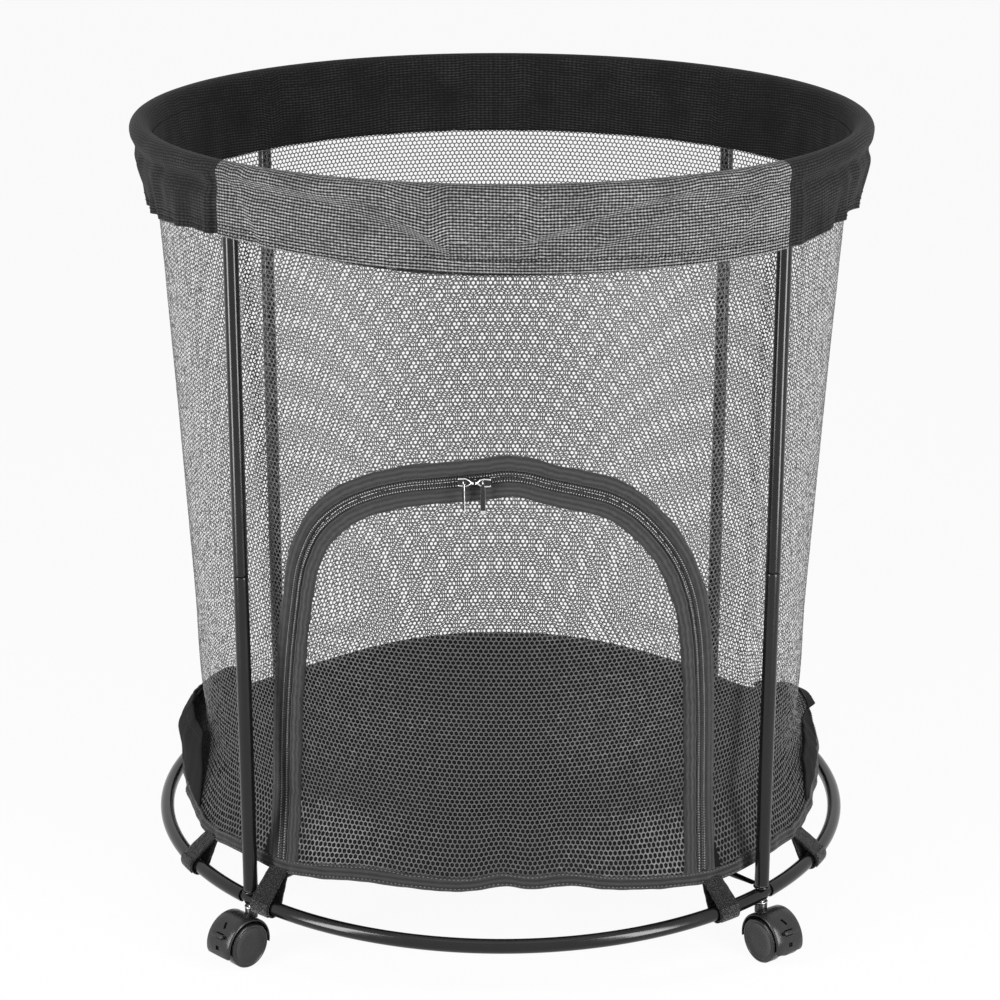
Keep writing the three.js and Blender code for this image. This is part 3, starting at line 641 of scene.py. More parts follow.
@dataclass(frozen=True)
class NetYarn:
    """Black warp-knitted polyester yarn with a soft shine, and painted glints in its colour."""

    level: float = 60.0

    def material(self) -> bpy.types.Material:
        """Makes the yarn."""
        paint = Paint("net_yarn", shade(self.level, (1.0, 1.0, 1.03)), 0.42, Sheen_Weight=0.12)
        # One fine noise bumps the yarn's fibres and also lightens and darkens its colour in specks, as
        # painted glints of its shine.
        fibre_bumps_and_glints = paint.noise(2400.0, 3.0)
        paint.tinted(fibre_bumps_and_glints, 0.45, 1.6)
        paint.rubbed(paint.noise(500.0), 0.12)
        paint.relief(fibre_bumps_and_glints, 0.0002, 0.8)
        return paint.material


@dataclass(frozen=True)
class SewnTape:
    """Dark woven tape with fine cross ribs."""

    name: str
    level: float
    rib: float = 0.0011
    roughness: float = 0.8
    sheen: float = 0.15
    ridge_pitch: float = 0.0

    def material(self) -> bpy.types.Material:
        """Makes the tape."""
        color = shade(self.level)
        paint = Paint(self.name, color, self.roughness, Sheen_Weight=self.sheen, Specular_IOR_Level=0.25)
        flat, along, up = paint.cloth()
        turn = 2.0 * math.pi / self.rib
        ribs = paint.wave(along, turn)
        threads = paint.wave(up, turn * 1.3)
        weave = paint.math("ADD", ribs, paint.math("MULTIPLY", threads, 0.6))
        slub = paint.noise(180.0, 4.0, flat)
        paint.tinted(paint.math("MULTIPLY", paint.between(weave, -1.2, 1.6, 0.2, 1.0), slub), 0.45, 2.3)
        paint.relief(weave, 0.00012, 0.7)
        paint.relief(slub, 0.0008, 0.5)
        if self.ridge_pitch:
            self.ridged(paint, up, slub)
        return paint.material

    def ridged(self, paint: Paint, up: Socket, slub: Socket) -> None:
        """Adds ridges that run along the tape, with painted highlight on their tops and painted shade between
        them.
        """
        wave = paint.wave(up, 2.0 * math.pi / self.ridge_pitch)
        # The ridges' tops are painted lighter and their grooves darker: a painted highlight and painted
        # shade.
        painted_ridge_light = paint.between(paint.math("ADD", wave, paint.math("MULTIPLY", slub, 1.2)), -0.2, 1.6, 0.0, 1.0)
        paint.tinted(painted_ridge_light, 0.62, 1.75)
        paint.relief(wave, 0.0003, 0.8)


@dataclass(frozen=True)
class LoopPile:
    """The fuzzy black pile of hook-and-loop tape."""

    name: str
    level: float = 30.0

    def material(self) -> bpy.types.Material:
        """Makes the pile."""
        paint = Paint(self.name, shade(self.level), 0.9, Sheen_Weight=0.3, Specular_IOR_Level=0.2)
        paint.shader.inputs["Sheen Roughness"].default_value = 0.4
        inputs = {"Vector": paint.place(), "Scale": 900.0, "Randomness": 1.0}
        cells = paint.node("ShaderNodeTexVoronoi", inputs).outputs["Distance"]
        curls = paint.noise(1500.0, 5.0)
        fuzz = paint.math("MULTIPLY", paint.between(cells, 0.1, 0.7, 1.0, 0.0), curls)
        paint.tinted(paint.between(fuzz, 0.25, 0.6, 0.0, 1.0), 0.35, 5.0)
        paint.relief(fuzz, 0.0009, 0.9)
        return paint.material


class Finish(Enum):
    """The cart's finishes, each made once."""

    COAT = TubeCoat()
    ZINC = BareMetal("zinc_plate")
    SLIDER = BareMetal("slider_metal", level=228.0, roughness=0.2)
    # The sliders' dark face; on the pulls' flat faces it is a painted dark reflection in their chrome.
    SLIDER_FACE = MouldedPlastic("slider_dark", 26.0, 0.3, 1500.0)
    HOOD = MouldedPlastic("hood_plastic", 30.0, 0.27)
    TYRE = MouldedPlastic("wheel_plastic", 28.0, 0.28, 1800.0)
    FRONT_CLOTH = PlainWeave("band_front_cloth", 152.0, 6.0, 0.0026, 0.0024)
    SIDE_CLOTH = PlainWeave("band_side_cloth", 44.0, 1.0, 0.004, 0.0024, 0.55, 0.03)
    YARN = NetYarn()
    HEM = SewnTape("hem_cloth", 38.0, ridge_pitch=0.0042)
    HEM_THREAD = SewnTape("hem_thread", 112.0, 0.0005)
    GUARD = SewnTape("guard_cloth", 5.0, 0.0016, 0.9, 0.0)
    FLOOR = SewnTape("floor_cloth", 7.0, 0.0016, 0.9, 0.0)
    BINDING = SewnTape("zip_binding", 37.0, 0.0009, 0.6, ridge_pitch=0.0044)
    THREAD = SewnTape("sewing_thread", 44.0, 0.0005)
    BAND_THREAD = SewnTape("band_thread", 14.0, 0.0005, 0.9, 0.0)
    COIL_THREAD = SewnTape("coil_thread", 190.0, 0.0005, 0.6)
    TEETH = MouldedPlastic("zip_teeth", 52.0, 0.35, 900.0)
    PILE = LoopPile("strap_pile")
    HOOKS = LoopPile("strap_hooks", 54.0)

    def material(self) -> bpy.types.Material:
        """Returns this finish's material, making it at the first use."""
        if self not in _MADE:
            _MADE[self] = self.value.material()
        return _MADE[self]


_MADE: dict[Finish, bpy.types.Material] = {}


def dress(piece: Piece, *finishes: Finish) -> Piece:
    """Gives a piece its materials in order and returns it."""
    piece.data.materials.clear()
    for finish in finishes:
        piece.data.materials.append(finish.material())
    return piece


def fit(piece: Piece, body: str, slot: str, *nodes: str) -> Piece:
    """Puts a finished piece on its body, in the place of the nodes that it stands for.

    Args:
        piece: The piece.
        body: The body that it moves with.
        slot: The record's material slot; not used.
        nodes: The solids that it replaces.

    Returns:
        The piece.
    """
    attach(piece, body)
    if nodes:
        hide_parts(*nodes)
    LOG.info("%s on %s: %d faces", piece.name, body, len(piece.data.polygons))
    return piece


# The frame


@dataclass(frozen=True)
class TubeFrame:
    """The coated tubes: four base arcs, posts in two lengths, two cross rods and the top ring."""

    bore_r: float = 0.0048
    spigot_r: float = 0.0043
    front_reach: float = 45.3
    side_reach: float = 43.22
    spigot_reach: float = 50.0
    rim: float = 0.0005
    foot_z: float = 0.0601
    split_z: float = 0.337
    head_z: float = 0.6557
    joint_gap: float = 0.0003
    rod_r: float = 0.0025
    ear_z: float = 0.05905
    ear_thick: float = 0.0015
    rod_bow: float = 0.00265
    ear_r: float = 0.007
    ear_round: float = 0.0004
    ear_foot_r: float = 0.0066
    ear_half: float = 0.0035
    bore_seen: float = 0.02
    steps: int = 97
    sides: int = 32

    def build(self) -> None:
        """Builds and dresses every tube."""
        self.base_ring()
        for name, azimuth in POST_AZIMUTHS.items():
            self.post(name, azimuth)
        self.cross_rods()
        for node in ("top_ring_front", "top_ring_rear"):
            dress(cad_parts[node], Finish.COAT)
            LOG.info("%s keeps its solid", node)

    def arc(self, name: str, middle: float, reach: float, radius: float) -> Piece:
        """Makes a bent tube.

        Args:
            name: The piece's name.
            middle: Azimuth of its middle.
            reach: Degrees from there to each end.
            radius: The tube's radius.

        Returns:
            The tube.
        """
        path = polar(RING_R, np.linspace(middle - reach, middle + reach, self.steps), RING_Z)
        return swept(name, path, disc(radius, self.sides), (0.0, 0.0, 1.0))

    def socket(self, name: str, middle: float) -> Piece:
        """Makes a side arc with open ends whose cut rims are bare steel."""
        azimuths = np.linspace(middle - self.side_reach, middle + self.side_reach, self.steps)
        into = math.degrees(self.bore_seen / RING_R)
        inner = np.array([middle - self.side_reach, middle - self.side_reach + into])
        rows = [(a, TUBE_R) for a in azimuths]
        edge_r = TUBE_R - self.rim
        end = middle + self.side_reach
        rows += [(end, edge_r), (end, self.bore_r), (end - into, self.bore_r)]
        rows = [(inner[1], self.bore_r), (inner[0], self.bore_r), (inner[0], edge_r)] + rows
        ring = disc(1.0, self.sides)
        points = []
        for azimuth, radius in rows:
            centre = polar(RING_R, azimuth, RING_Z)
            outward = polar(1.0, azimuth, 0.0)
            points.append(centre + radius * (ring[:, :1] * outward + ring[:, 1:] * np.array([0.0, 0.0, 1.0])))
        piece = mesh_piece(name, np.array(points), [grid_faces(len(rows), self.sides, False, True)])
        dress(piece, Finish.COAT, Finish.ZINC)
        bare = np.zeros(len(piece.data.polygons), np.int32)
        rim_rows = [2, len(rows) - 4]
        for row in rim_rows:
            bare[row * self.sides:(row + 1) * self.sides] = 1
        piece.data.polygons.foreach_set("material_index", bare)
        crisp(piece, 40.0)
        return piece

    def base_ring(self) -> None:
        """Makes the base ring's four arcs, the front and rear ones plugged into the side ones."""
        for name, middle in (("front", 0.0), ("rear", 180.0)):
            tube = self.arc(f"ring_arc_{name}", middle, self.front_reach, TUBE_R)
            spigot = self.arc(f"ring_spigot_{name}", middle, self.spigot_reach, self.spigot_r)
            piece = merged(f"ring_arc_{name}", [tube, spigot])
            crisp(piece, 40.0)
            fit(dress(piece, Finish.COAT), "frame", "powder_coated_tube", f"base_arc_{name}")
        for name, middle in (("right", 90.0), ("left", 270.0)):
            piece = self.socket(f"ring_arc_{name}", middle)
            fit(piece, "frame", "powder_coated_tube", f"base_arc_{name}")

    def post(self, name: str, azimuth: float) -> None:
        """Makes one post: a lower length with a bare foot rim, and an upper one above a joint line."""
        x, y, _ = polar(RING_R, azimuth, 0.0)
        upper_foot = self.split_z + self.joint_gap
        rounding = 0.0006
        lower = [
            (0.0, self.foot_z), (self.bore_r, self.foot_z), (TUBE_R - rounding / 2, self.foot_z),
            (TUBE_R, self.foot_z + rounding / 2), (TUBE_R, self.foot_z + rounding),
            (TUBE_R, self.foot_z + 0.003), (TUBE_R, self.split_z - 0.002),
            (TUBE_R, self.split_z - rounding), (TUBE_R - rounding, self.split_z), (0.0, self.split_z),
        ]
        upper = [
            (0.0, upper_foot), (TUBE_R - rounding, upper_foot), (TUBE_R, upper_foot + rounding),
            (TUBE_R, upper_foot + 0.002), (TUBE_R, self.head_z), (0.0, self.head_z),
        ]
        for part, profile in (("lower", lower), ("upper", upper)):
            piece = turned(f"tube_{part}_{name}", profile, self.sides)
            piece.data.transform(Matrix.Translation((x, y, 0.0)))
            dress(piece, Finish.COAT, Finish.ZINC)
            if part == "lower":
                bare = [int(p.center.z < self.foot_z + rounding) for p in piece.data.polygons]
                piece.data.polygons.foreach_set("material_index", bare)
            crisp(piece, 50.0)
            fit(piece, "frame", "powder_coated_tube", f"post_{part}_{name}")

    def cross_rods(self) -> None:
        """Makes the two rods under the bag, with flattened ends under the posts."""
        for name, bow, azimuths in (("upper", 1.0, (-45.0, 135.0)), ("lower", -1.0, (45.0, 225.0))):
            ends = [polar(RING_R - 0.008, a, self.ear_z) for a in azimuths]
            share = np.linspace(0.0, 1.0, 61)[:, None]
            path = ends[0] * (1.0 - share) + ends[1] * share
            path[:, 2] += bow * self.rod_bow * np.sin(np.pi * share[:, 0]) ** 2
            flat = ramp(np.minimum(share[:, 0], 1.0 - share[:, 0]) / 0.03)
            flat = flat * flat * (3.0 - 2.0 * flat)
            section = disc(1.0, 20)
            wide = self.rod_r + (self.ear_half - self.rod_r) * (1.0 - flat)
            thick = self.rod_r * flat + self.ear_thick / 2.0 * (1.0 - flat)
            sections = section[None] * np.stack([wide, thick], axis=-1)[:, None]
            rod = swept(f"rod_{name}", path, sections, (0.0, 0.0, 1.0))
            low, high = self.ear_z - self.ear_thick / 2.0, self.ear_z + self.ear_thick / 2.0
            profile = [
                (0.0, low), (self.ear_foot_r, low), (self.ear_r, low + self.ear_round),
                (self.ear_r, high - self.ear_round), (self.ear_foot_r, high), (0.0, high),
            ]
            ears = []
            for i, azimuth in enumerate(azimuths):
                ear = turned(f"rod_{name}_ear_{i}", profile, 36)
                x, y, _ = polar(RING_R, azimuth, 0.0)
                ear.data.transform(Matrix.Translation((x, y, 0.0)))
                ears.append(ear)
            piece = merged(f"rod_{name}", [rod, *ears])
            crisp(piece, 45.0)
            fit(dress(piece, Finish.COAT), "frame", "powder_coated_tube", f"cross_rod_{name}")


# The casters


@dataclass(frozen=True)
class Caster:
    """A twin-wheel caster under a post, built with its stem at the origin and its wheels towards +X."""

    name: str
    azimuth: float
    swivel: float = 0.0
    braked: bool = False
    wheel_r: float = 0.019
    trail: float = 0.015
    hood_in_r: float = 0.0214
    hood_out_r: float = 0.023
    half_width: float = 0.0142
    back_drop: float = 15.0
    front_drop: float = 10.0
    wheel_in: float = 0.0048
    wheel_out: float = 0.0153
    web_half: float = 0.0042
    collar_r: float = 0.00525
    collar_z: float = 0.0442
    flange_r: float = 0.0056
    flange_z: float = 0.0445
    pedal_deg: float = 30.0

    def place(self) -> Matrix:
        """Returns where the caster stands, turned as it has swivelled."""
        x, y, _ = polar(RING_R, self.azimuth, 0.0)
        turn = math.radians(self.azimuth + self.swivel - 90.0)
        return Matrix.Translation((x, y, 0.0)) @ Matrix.Rotation(turn, 4, "Z")

    def build(self) -> None:
        """Builds and dresses the caster's pieces."""
        caster = f"caster_{self.name}"
        self.stand(self.hood(), caster, "caster_plastic", Finish.HOOD, f"caster_hood_{self.name}")
        self.stand(self.stem(), "frame", "zinc_steel", Finish.ZINC, f"caster_stem_{self.name}")
        self.stand(self.axle(), caster, "zinc_steel", Finish.ZINC, f"caster_axle_{self.name}")
        for letter, side in (("a", 1.0), ("b", -1.0)):
            body = f"wheel_{self.name}_{letter}"
            self.stand(self.wheel(letter, side), body, "caster_wheel", Finish.TYRE, f"caster_{body}")
        if self.braked:
            body = f"pedal_{self.name}"
            self.stand(self.pedal(), body, "caster_plastic", Finish.HOOD, f"brake_{body}")

    def stand(self, piece: Piece, body: str, slot: str, finish: Finish, node: str) -> None:
        """Puts a piece in its place on the cart."""
        piece.data.transform(self.place())
        fit(dress(piece, finish), body, slot, node)

    def on_hood(self, radius: float, degrees: float) -> Pair:
        """Returns x and z of a point about the wheel's axis, with 0 degrees towards the trailing side."""
        angle = math.radians(degrees)
        return self.trail + radius * math.cos(angle), self.wheel_r + radius * math.sin(angle)

    def hood(self) -> Piece:
        """Makes the hood: a rounded skin over the wheels, the web between them and the stem's collar."""
        degrees = np.linspace(-self.back_drop, 180.0 + self.front_drop, 73)
        near_back = ramp((degrees + self.back_drop) / 7.0)
        half = self.half_width - 0.0012 * (1.0 - near_back) ** 2
        out, inside, lip = self.hood_out_r, self.hood_in_r, 0.0012
        shape = [
            (1.0, 0.0, inside), (1.0, 0.0, out - lip), (1.0, -0.4 * lip, out - 0.35 * lip), (1.0, -lip, out),
            (0.5, 0.0, out + 0.0001), (-0.5, 0.0, out + 0.0001),
            (-1.0, lip, out), (-1.0, 0.4 * lip, out - 0.35 * lip), (-1.0, 0.0, out - lip),
            (-1.0, 0.0, inside),
        ]
        rows = []
        for degree, width in zip(degrees, half):
            row = []
            for share, shift, radius in shape:
                x, z = self.on_hood(radius, degree)
                row.append((x, share * width + shift, z))
            rows.append(row)
        skin = mesh_piece("skin", np.array(rows), closed_faces(len(rows), len(shape)))
        face_out(skin)
        if self.braked:
            skin = carve(skin, self.windows())
        crisp(skin, 32.0)
        web_degrees = np.linspace(68.0, 180.0 + self.front_drop, 31)
        outline = [self.on_hood(self.hood_in_r + 0.0002, d) for d in web_degrees]
        outline += [self.on_hood(0.007, d) for d in np.linspace(215.0, 360.0, 12)]
        web = self.slab("web", outline, self.web_half)
        bottom = self.wheel_r + self.hood_in_r - self.wheel_r * 0.25
        profile = [
            (0.0, bottom), (self.collar_r, bottom), (self.collar_r, self.collar_z - 0.0006),
            (self.collar_r - 0.0006, self.collar_z), (0.0, self.collar_z),
        ]
        collar = turned("collar", profile, 32)
        crisp(collar, 50.0)
        return merged(f"hood_{self.name}", [skin, web, collar])

    def slab(self, name: str, outline: Sequence[Pair], half: float) -> Piece:
        """Makes a flat plate across Y from its outline in X and Z."""
        count = len(outline)
        points = [(x, y, z) for y in (-half, half) for x, z in outline]
        piece = mesh_piece(name, np.array(points), closed_faces(2, count))
        face_out(piece)
        return crisp(piece, 35.0)

    def windows(self) -> list[Piece]:
        """Makes the solids that cut the brake's openings through the hood's skin."""
        cuts = []
        slots = (
            (self.pedal_deg, 0.0052, 0.0082, 0.0), (4.0, 0.0036, 0.0038, 0.0), (54.0, 0.0062, 0.0022, 24.0),
        )
        for degrees, tall, wide, skew in slots:
            x, z = self.on_hood(self.hood_out_r, degrees)
            cutter = block("cut", (0.008, wide, tall), (0.0, 0.0, 0.0))
            turn = Matrix.Rotation(-math.radians(degrees), 4, "Y")
            turn = turn @ Matrix.Rotation(math.radians(skew), 4, "X")
            cutter.data.transform(Matrix.Translation((x, 0.0, z)) @ turn)
            cuts.append(cutter)
        return cuts

    def wheel(self, letter: str, side: float) -> Piece:
        """Makes a wheel with a rounded tread and a ringed face."""
        r, out, inn = self.wheel_r, self.wheel_out, self.wheel_in
        profile = [
            (0.0022, inn), (r - 0.0016, inn), (r - 0.0005, inn + 0.0004), (r, inn + 0.0015),
            (r, out - 0.0013), (r - 0.0004, out - 0.0004), (r - 0.0013, out), (r - 0.0019, out),
            (r - 0.0024, out - 0.0005),
            (r - 0.0029, out - 0.0005), (r - 0.0034, out - 0.0001), (r - 0.004, out - 0.0001),
            (r - 0.0046, out - 0.0004), (r * 0.45, out - 0.0005), (0.0, out - 0.0002),
        ]
        piece = turned(f"wheel_{self.name}_{letter}", profile, 72)
        return self.at_axle(crisp(piece, 48.0), Matrix.Rotation(-side * math.pi / 2.0, 4, "X"))

    def at_axle(self, piece: Piece, turn: Matrix) -> Piece:
        """Turns a piece that was made at the origin, moves it to the wheels' axis and returns it."""
        piece.data.transform(Matrix.Translation((self.trail, 0.0, self.wheel_r)) @ turn)
        return piece

    def axle(self) -> Piece:
        """Makes the steel axle inside the wheels."""
        half = self.wheel_out - 0.0015
        piece = turned(f"axle_{self.name}", [(0.0, -half), (0.002, -half), (0.002, half), (0.0, half)], 24)
        return self.at_axle(crisp(piece, 40.0), Matrix.Rotation(math.pi / 2.0, 4, "X"))

    def stem(self) -> Piece:
        """Makes the stem: its pin, a round flange and the bolt that goes up into the post."""
        low, high = self.flange_z, self.flange_z + 0.0012
        profile = [
            (0.0, low - 0.02), (0.0025, low - 0.02), (0.0025, low), (self.flange_r - 0.0003, low),
            (self.flange_r, low + 0.0003), (self.flange_r, high - 0.0003), (self.flange_r - 0.0003, high),
            (0.003, high), (0.003, 0.0781), (0.0, 0.0781),
        ]
        return crisp(turned(f"stem_{self.name}", profile, 32), 50.0)

    def pedal(self) -> Piece:
        """Makes the brake pedal: a neck out of the hood and a ribbed tab to step on."""
        neck = soften(block("neck", (0.0095, 0.0072, 0.0024), (0.0202, 0.0, 0.0)), 0.0004)
        tab = soften(block("tab", (0.004, 0.0136, 0.003), (0.0256, 0.0, 0.0)), 0.0008, 3)
        ribs = [
            soften(block(f"rib_{i}", (0.0006, 0.012, 0.0006), (0.0246 + 0.001 * i, 0.0, 0.0015)), 0.00015)
            for i in range(3)
        ]
        barrel = turned("barrel", [(0.0, -0.0036), (0.0025, -0.0036), (0.0025, 0.0036), (0.0, 0.0036)], 24)
        crisp(barrel, 40.0)
        barrel.data.transform(Matrix.Translation((0.0155, 0.0, 0.0)) @ Matrix.Rotation(math.pi / 2.0, 4, "X"))
        piece = merged(f"pedal_{self.name}", [tab, neck, barrel, *ribs])
        return self.at_axle(piece, Matrix.Rotation(-math.radians(self.pedal_deg), 4, "Y"))


# The bag


@dataclass(frozen=True)
class BagShape:
    """The bag's outer face: slack net that hangs, down to a hem that the straps pull out and down."""

    heights: tuple[float, ...] = (0.078, 0.102, 0.152, 0.172, 0.247, 0.339, 0.429, 0.517, 0.568, 0.6, 0.613)
    radii: tuple[float, ...] = (
        0.2605, 0.2612, 0.2622, 0.2645, 0.267, 0.272, 0.277, 0.282, 0.285, 0.288, 0.2912,
    )
    slack: float = 0.0007
    foot_z: float = 0.1035
    pull_z: float = 0.2
    flare_z: float = 0.15
    hem_tall: float = 0.009
    hem_lean: float = 0.0034
    wing_azimuth: float = 100.0
    wing_tall: float = 0.011
    wing_lean: float = 0.0005
    edge: tuple[tuple[float, float, float], ...] = (
        (-180.0, 0.272, 0.088), (-160.0, 0.275, 0.085), (-141.0, 0.2835, 0.0765), (-128.0, 0.2845, 0.079),
        (-118.3, 0.2855, 0.083), (-108.0, 0.2872, 0.102), (-97.0, 0.2866, 0.105), (-88.0, 0.2848, 0.09),
        (-75.0, 0.2838, 0.078), (-61.7, 0.2845, 0.0705), (-55.0, 0.2845, 0.0755), (-48.0, 0.2835, 0.077),
        (-41.0, 0.284, 0.077), (-34.5, 0.283, 0.081), (-25.0, 0.275, 0.0845), (-16.5, 0.2722, 0.0842),
        (-6.0, 0.2712, 0.0858), (-1.3, 0.2702, 0.09), (4.0, 0.2706, 0.087), (9.0, 0.2706, 0.0882),
        (19.0, 0.2735, 0.08), (28.0, 0.282, 0.0765), (36.4, 0.2845, 0.0715), (47.0, 0.2845, 0.0712),
        (55.0, 0.285, 0.0715), (61.7, 0.285, 0.069), (76.0, 0.2838, 0.08), (92.0, 0.2858, 0.092),
        (104.0, 0.2872, 0.1), (112.0, 0.2862, 0.093), (118.3, 0.285, 0.08), (138.0, 0.2835, 0.0765),
        (160.0, 0.275, 0.085),
    )

    def lower_edge(self, azimuth: Any) -> tuple[Array, Array]:
        """Returns the radius and height of the hem's lower edge at azimuths of the cart."""
        table = np.array(self.edge)
        return tuple(flowing(table[:, 0], table[:, i], azimuth, 360.0) for i in (1, 2))

    def wing(self, azimuth: Any) -> Array:
        """Returns how far azimuths are within the two tall parts of the hem at the sides, 0 to 1."""
        return bell(np.abs(half_turn(azimuth)) - self.wing_azimuth, 16.0)

    def hem_top(self, azimuth: Any) -> tuple[Array, Array]:
        """Returns the radius and height at which the net ends in the hem, at azimuths of the cart."""
        radius, height = self.lower_edge(azimuth)
        taller = 0.0028 * bell(half_turn(azimuth) + 26.0, 12.0)
        wing = self.wing(azimuth)
        lean = self.hem_lean + self.wing_lean * wing
        return radius - lean, height + self.hem_tall + taller + self.wing_tall * wing

    def pulled(self, azimuth: Any, radius: Any, height: Any) -> tuple[Array, Array]:
        """Pulls places near the bag's foot out and down to the hem.

        Args:
            azimuth: Azimuths of the cart.
            radius: The bag's plain radius there.
            height: The plain height.

        Returns:
            The radius and the height.
        """
        top_r, top_z = self.hem_top(azimuth)
        near = np.clip((self.flare_z - height) / (self.flare_z - self.foot_z), 0.0, 1.1)
        flare = near ** (1.25 + 1.9 * self.wing(azimuth))
        stretch = (self.pull_z - top_z) / (self.pull_z - self.foot_z)
        lowered = np.where(height < self.pull_z, self.pull_z - (self.pull_z - height) * stretch, height)
        return radius + (top_r - flowing(self.heights, self.radii, self.foot_z)) * flare, lowered

    def radius(self, azimuth: Any, height: Any) -> Array:
        """Returns the bag's plain radius at places given by the bag's own azimuth and the height."""
        around = np.radians(azimuth)
        height = np.asarray(height, float)
        waves = ripple(
            (5.0 * around + 9.0 * height, 1.0, 0.4),
            (11.0 * around - 7.0 * height, 0.7, 1.9),
            (19.0 * around + 16.0 * height, 0.35, 0.7),
        )
        loose = ramp((height - 0.1) / 0.12) * ramp((0.6 - height) / 0.1)
        return flowing(self.heights, self.radii, height) + self.slack * loose * waves

    def at(self, azimuth: Any, height: Any, proud: Any = 0.0) -> Array:
        """Returns points on the bag, or a little outside its face."""
        world = np.asarray(azimuth) + BAG_TURN
        radius, lowered = self.pulled(world, self.radius(azimuth, height), np.asarray(height, float))
        return polar(radius + proud, world, lowered)

    def across(self, x: Any, height: Any, proud: Any = 0.0) -> Array:
        """Returns points on the bag's front given by how far they are to the side of its middle."""
        return self.at(self.azimuth_of(x, height), height, proud)

    def azimuth_of(self, x: Any, height: Any) -> Array:
        """Returns the bag's own azimuth of places on its front."""
        plain = flowing(self.heights, self.radii, height)
        azimuth = np.degrees(np.arcsin(np.clip(np.asarray(x) / plain, -1.0, 1.0)))
        radius, _ = self.pulled(azimuth + BAG_TURN, plain, np.asarray(height, float))
        return np.degrees(np.arcsin(np.clip(np.asarray(x) / radius, -1.0, 1.0)))


BAG = BagShape()


@dataclass(frozen=True)
class DoorLine:
    """The zip's line on the bag, from the left foot over the top to the right foot."""

    knots: tuple[Pair, ...] = (
        (-0.1752, 0.1045), (-0.1726, 0.17), (-0.1685, 0.24), (-0.161, 0.302), (-0.1506, 0.355),
        (-0.138, 0.383), (-0.119, 0.404), (-0.095, 0.419), (-0.07, 0.4279), (-0.04, 0.433),
        (-0.01, 0.4372), (0.013, 0.4398), (0.028, 0.4376), (0.04, 0.4336), (0.065, 0.4266), (0.09, 0.4175),
        (0.106, 0.4065), (0.124, 0.387), (0.143, 0.357), (0.1545, 0.325), (0.16, 0.296),
        (0.1648, 0.24), (0.1672, 0.17), (0.1692, 0.1045),
    )
    step: float = 0.002

    def flat(self) -> Array:
        """Returns the line as side offset and height."""
        return flowing_line(self.knots, self.step)

    def outward(self) -> Array:
        """Returns the direction away from the door at each point of the line."""
        forward = unit(np.gradient(self.flat(), axis=0))
        return np.stack([-forward[:, 1], forward[:, 0]], axis=-1)

    def topness(self) -> Array:
        """Returns how level the line is at each point, 0 on the sides and 1 along the top."""
        return np.abs(self.outward()[:, 1]) ** 1.5

    def inside(self, x: Array, height: Array, margin: float) -> Array:
        """Tells which places lie inside the line by at least a margin, or outside it by a negative one."""
        line = self.flat() - self.outward() * margin
        middle = int(np.argmax(line[:, 1]))
        left = np.interp(height, line[: middle + 1, 1], line[: middle + 1, 0])
        right = np.interp(height, line[middle:][::-1, 1], line[middle:][::-1, 0])
        return (x > left) & (x < right) & (height < line[middle, 1])


DOOR = DoorLine()


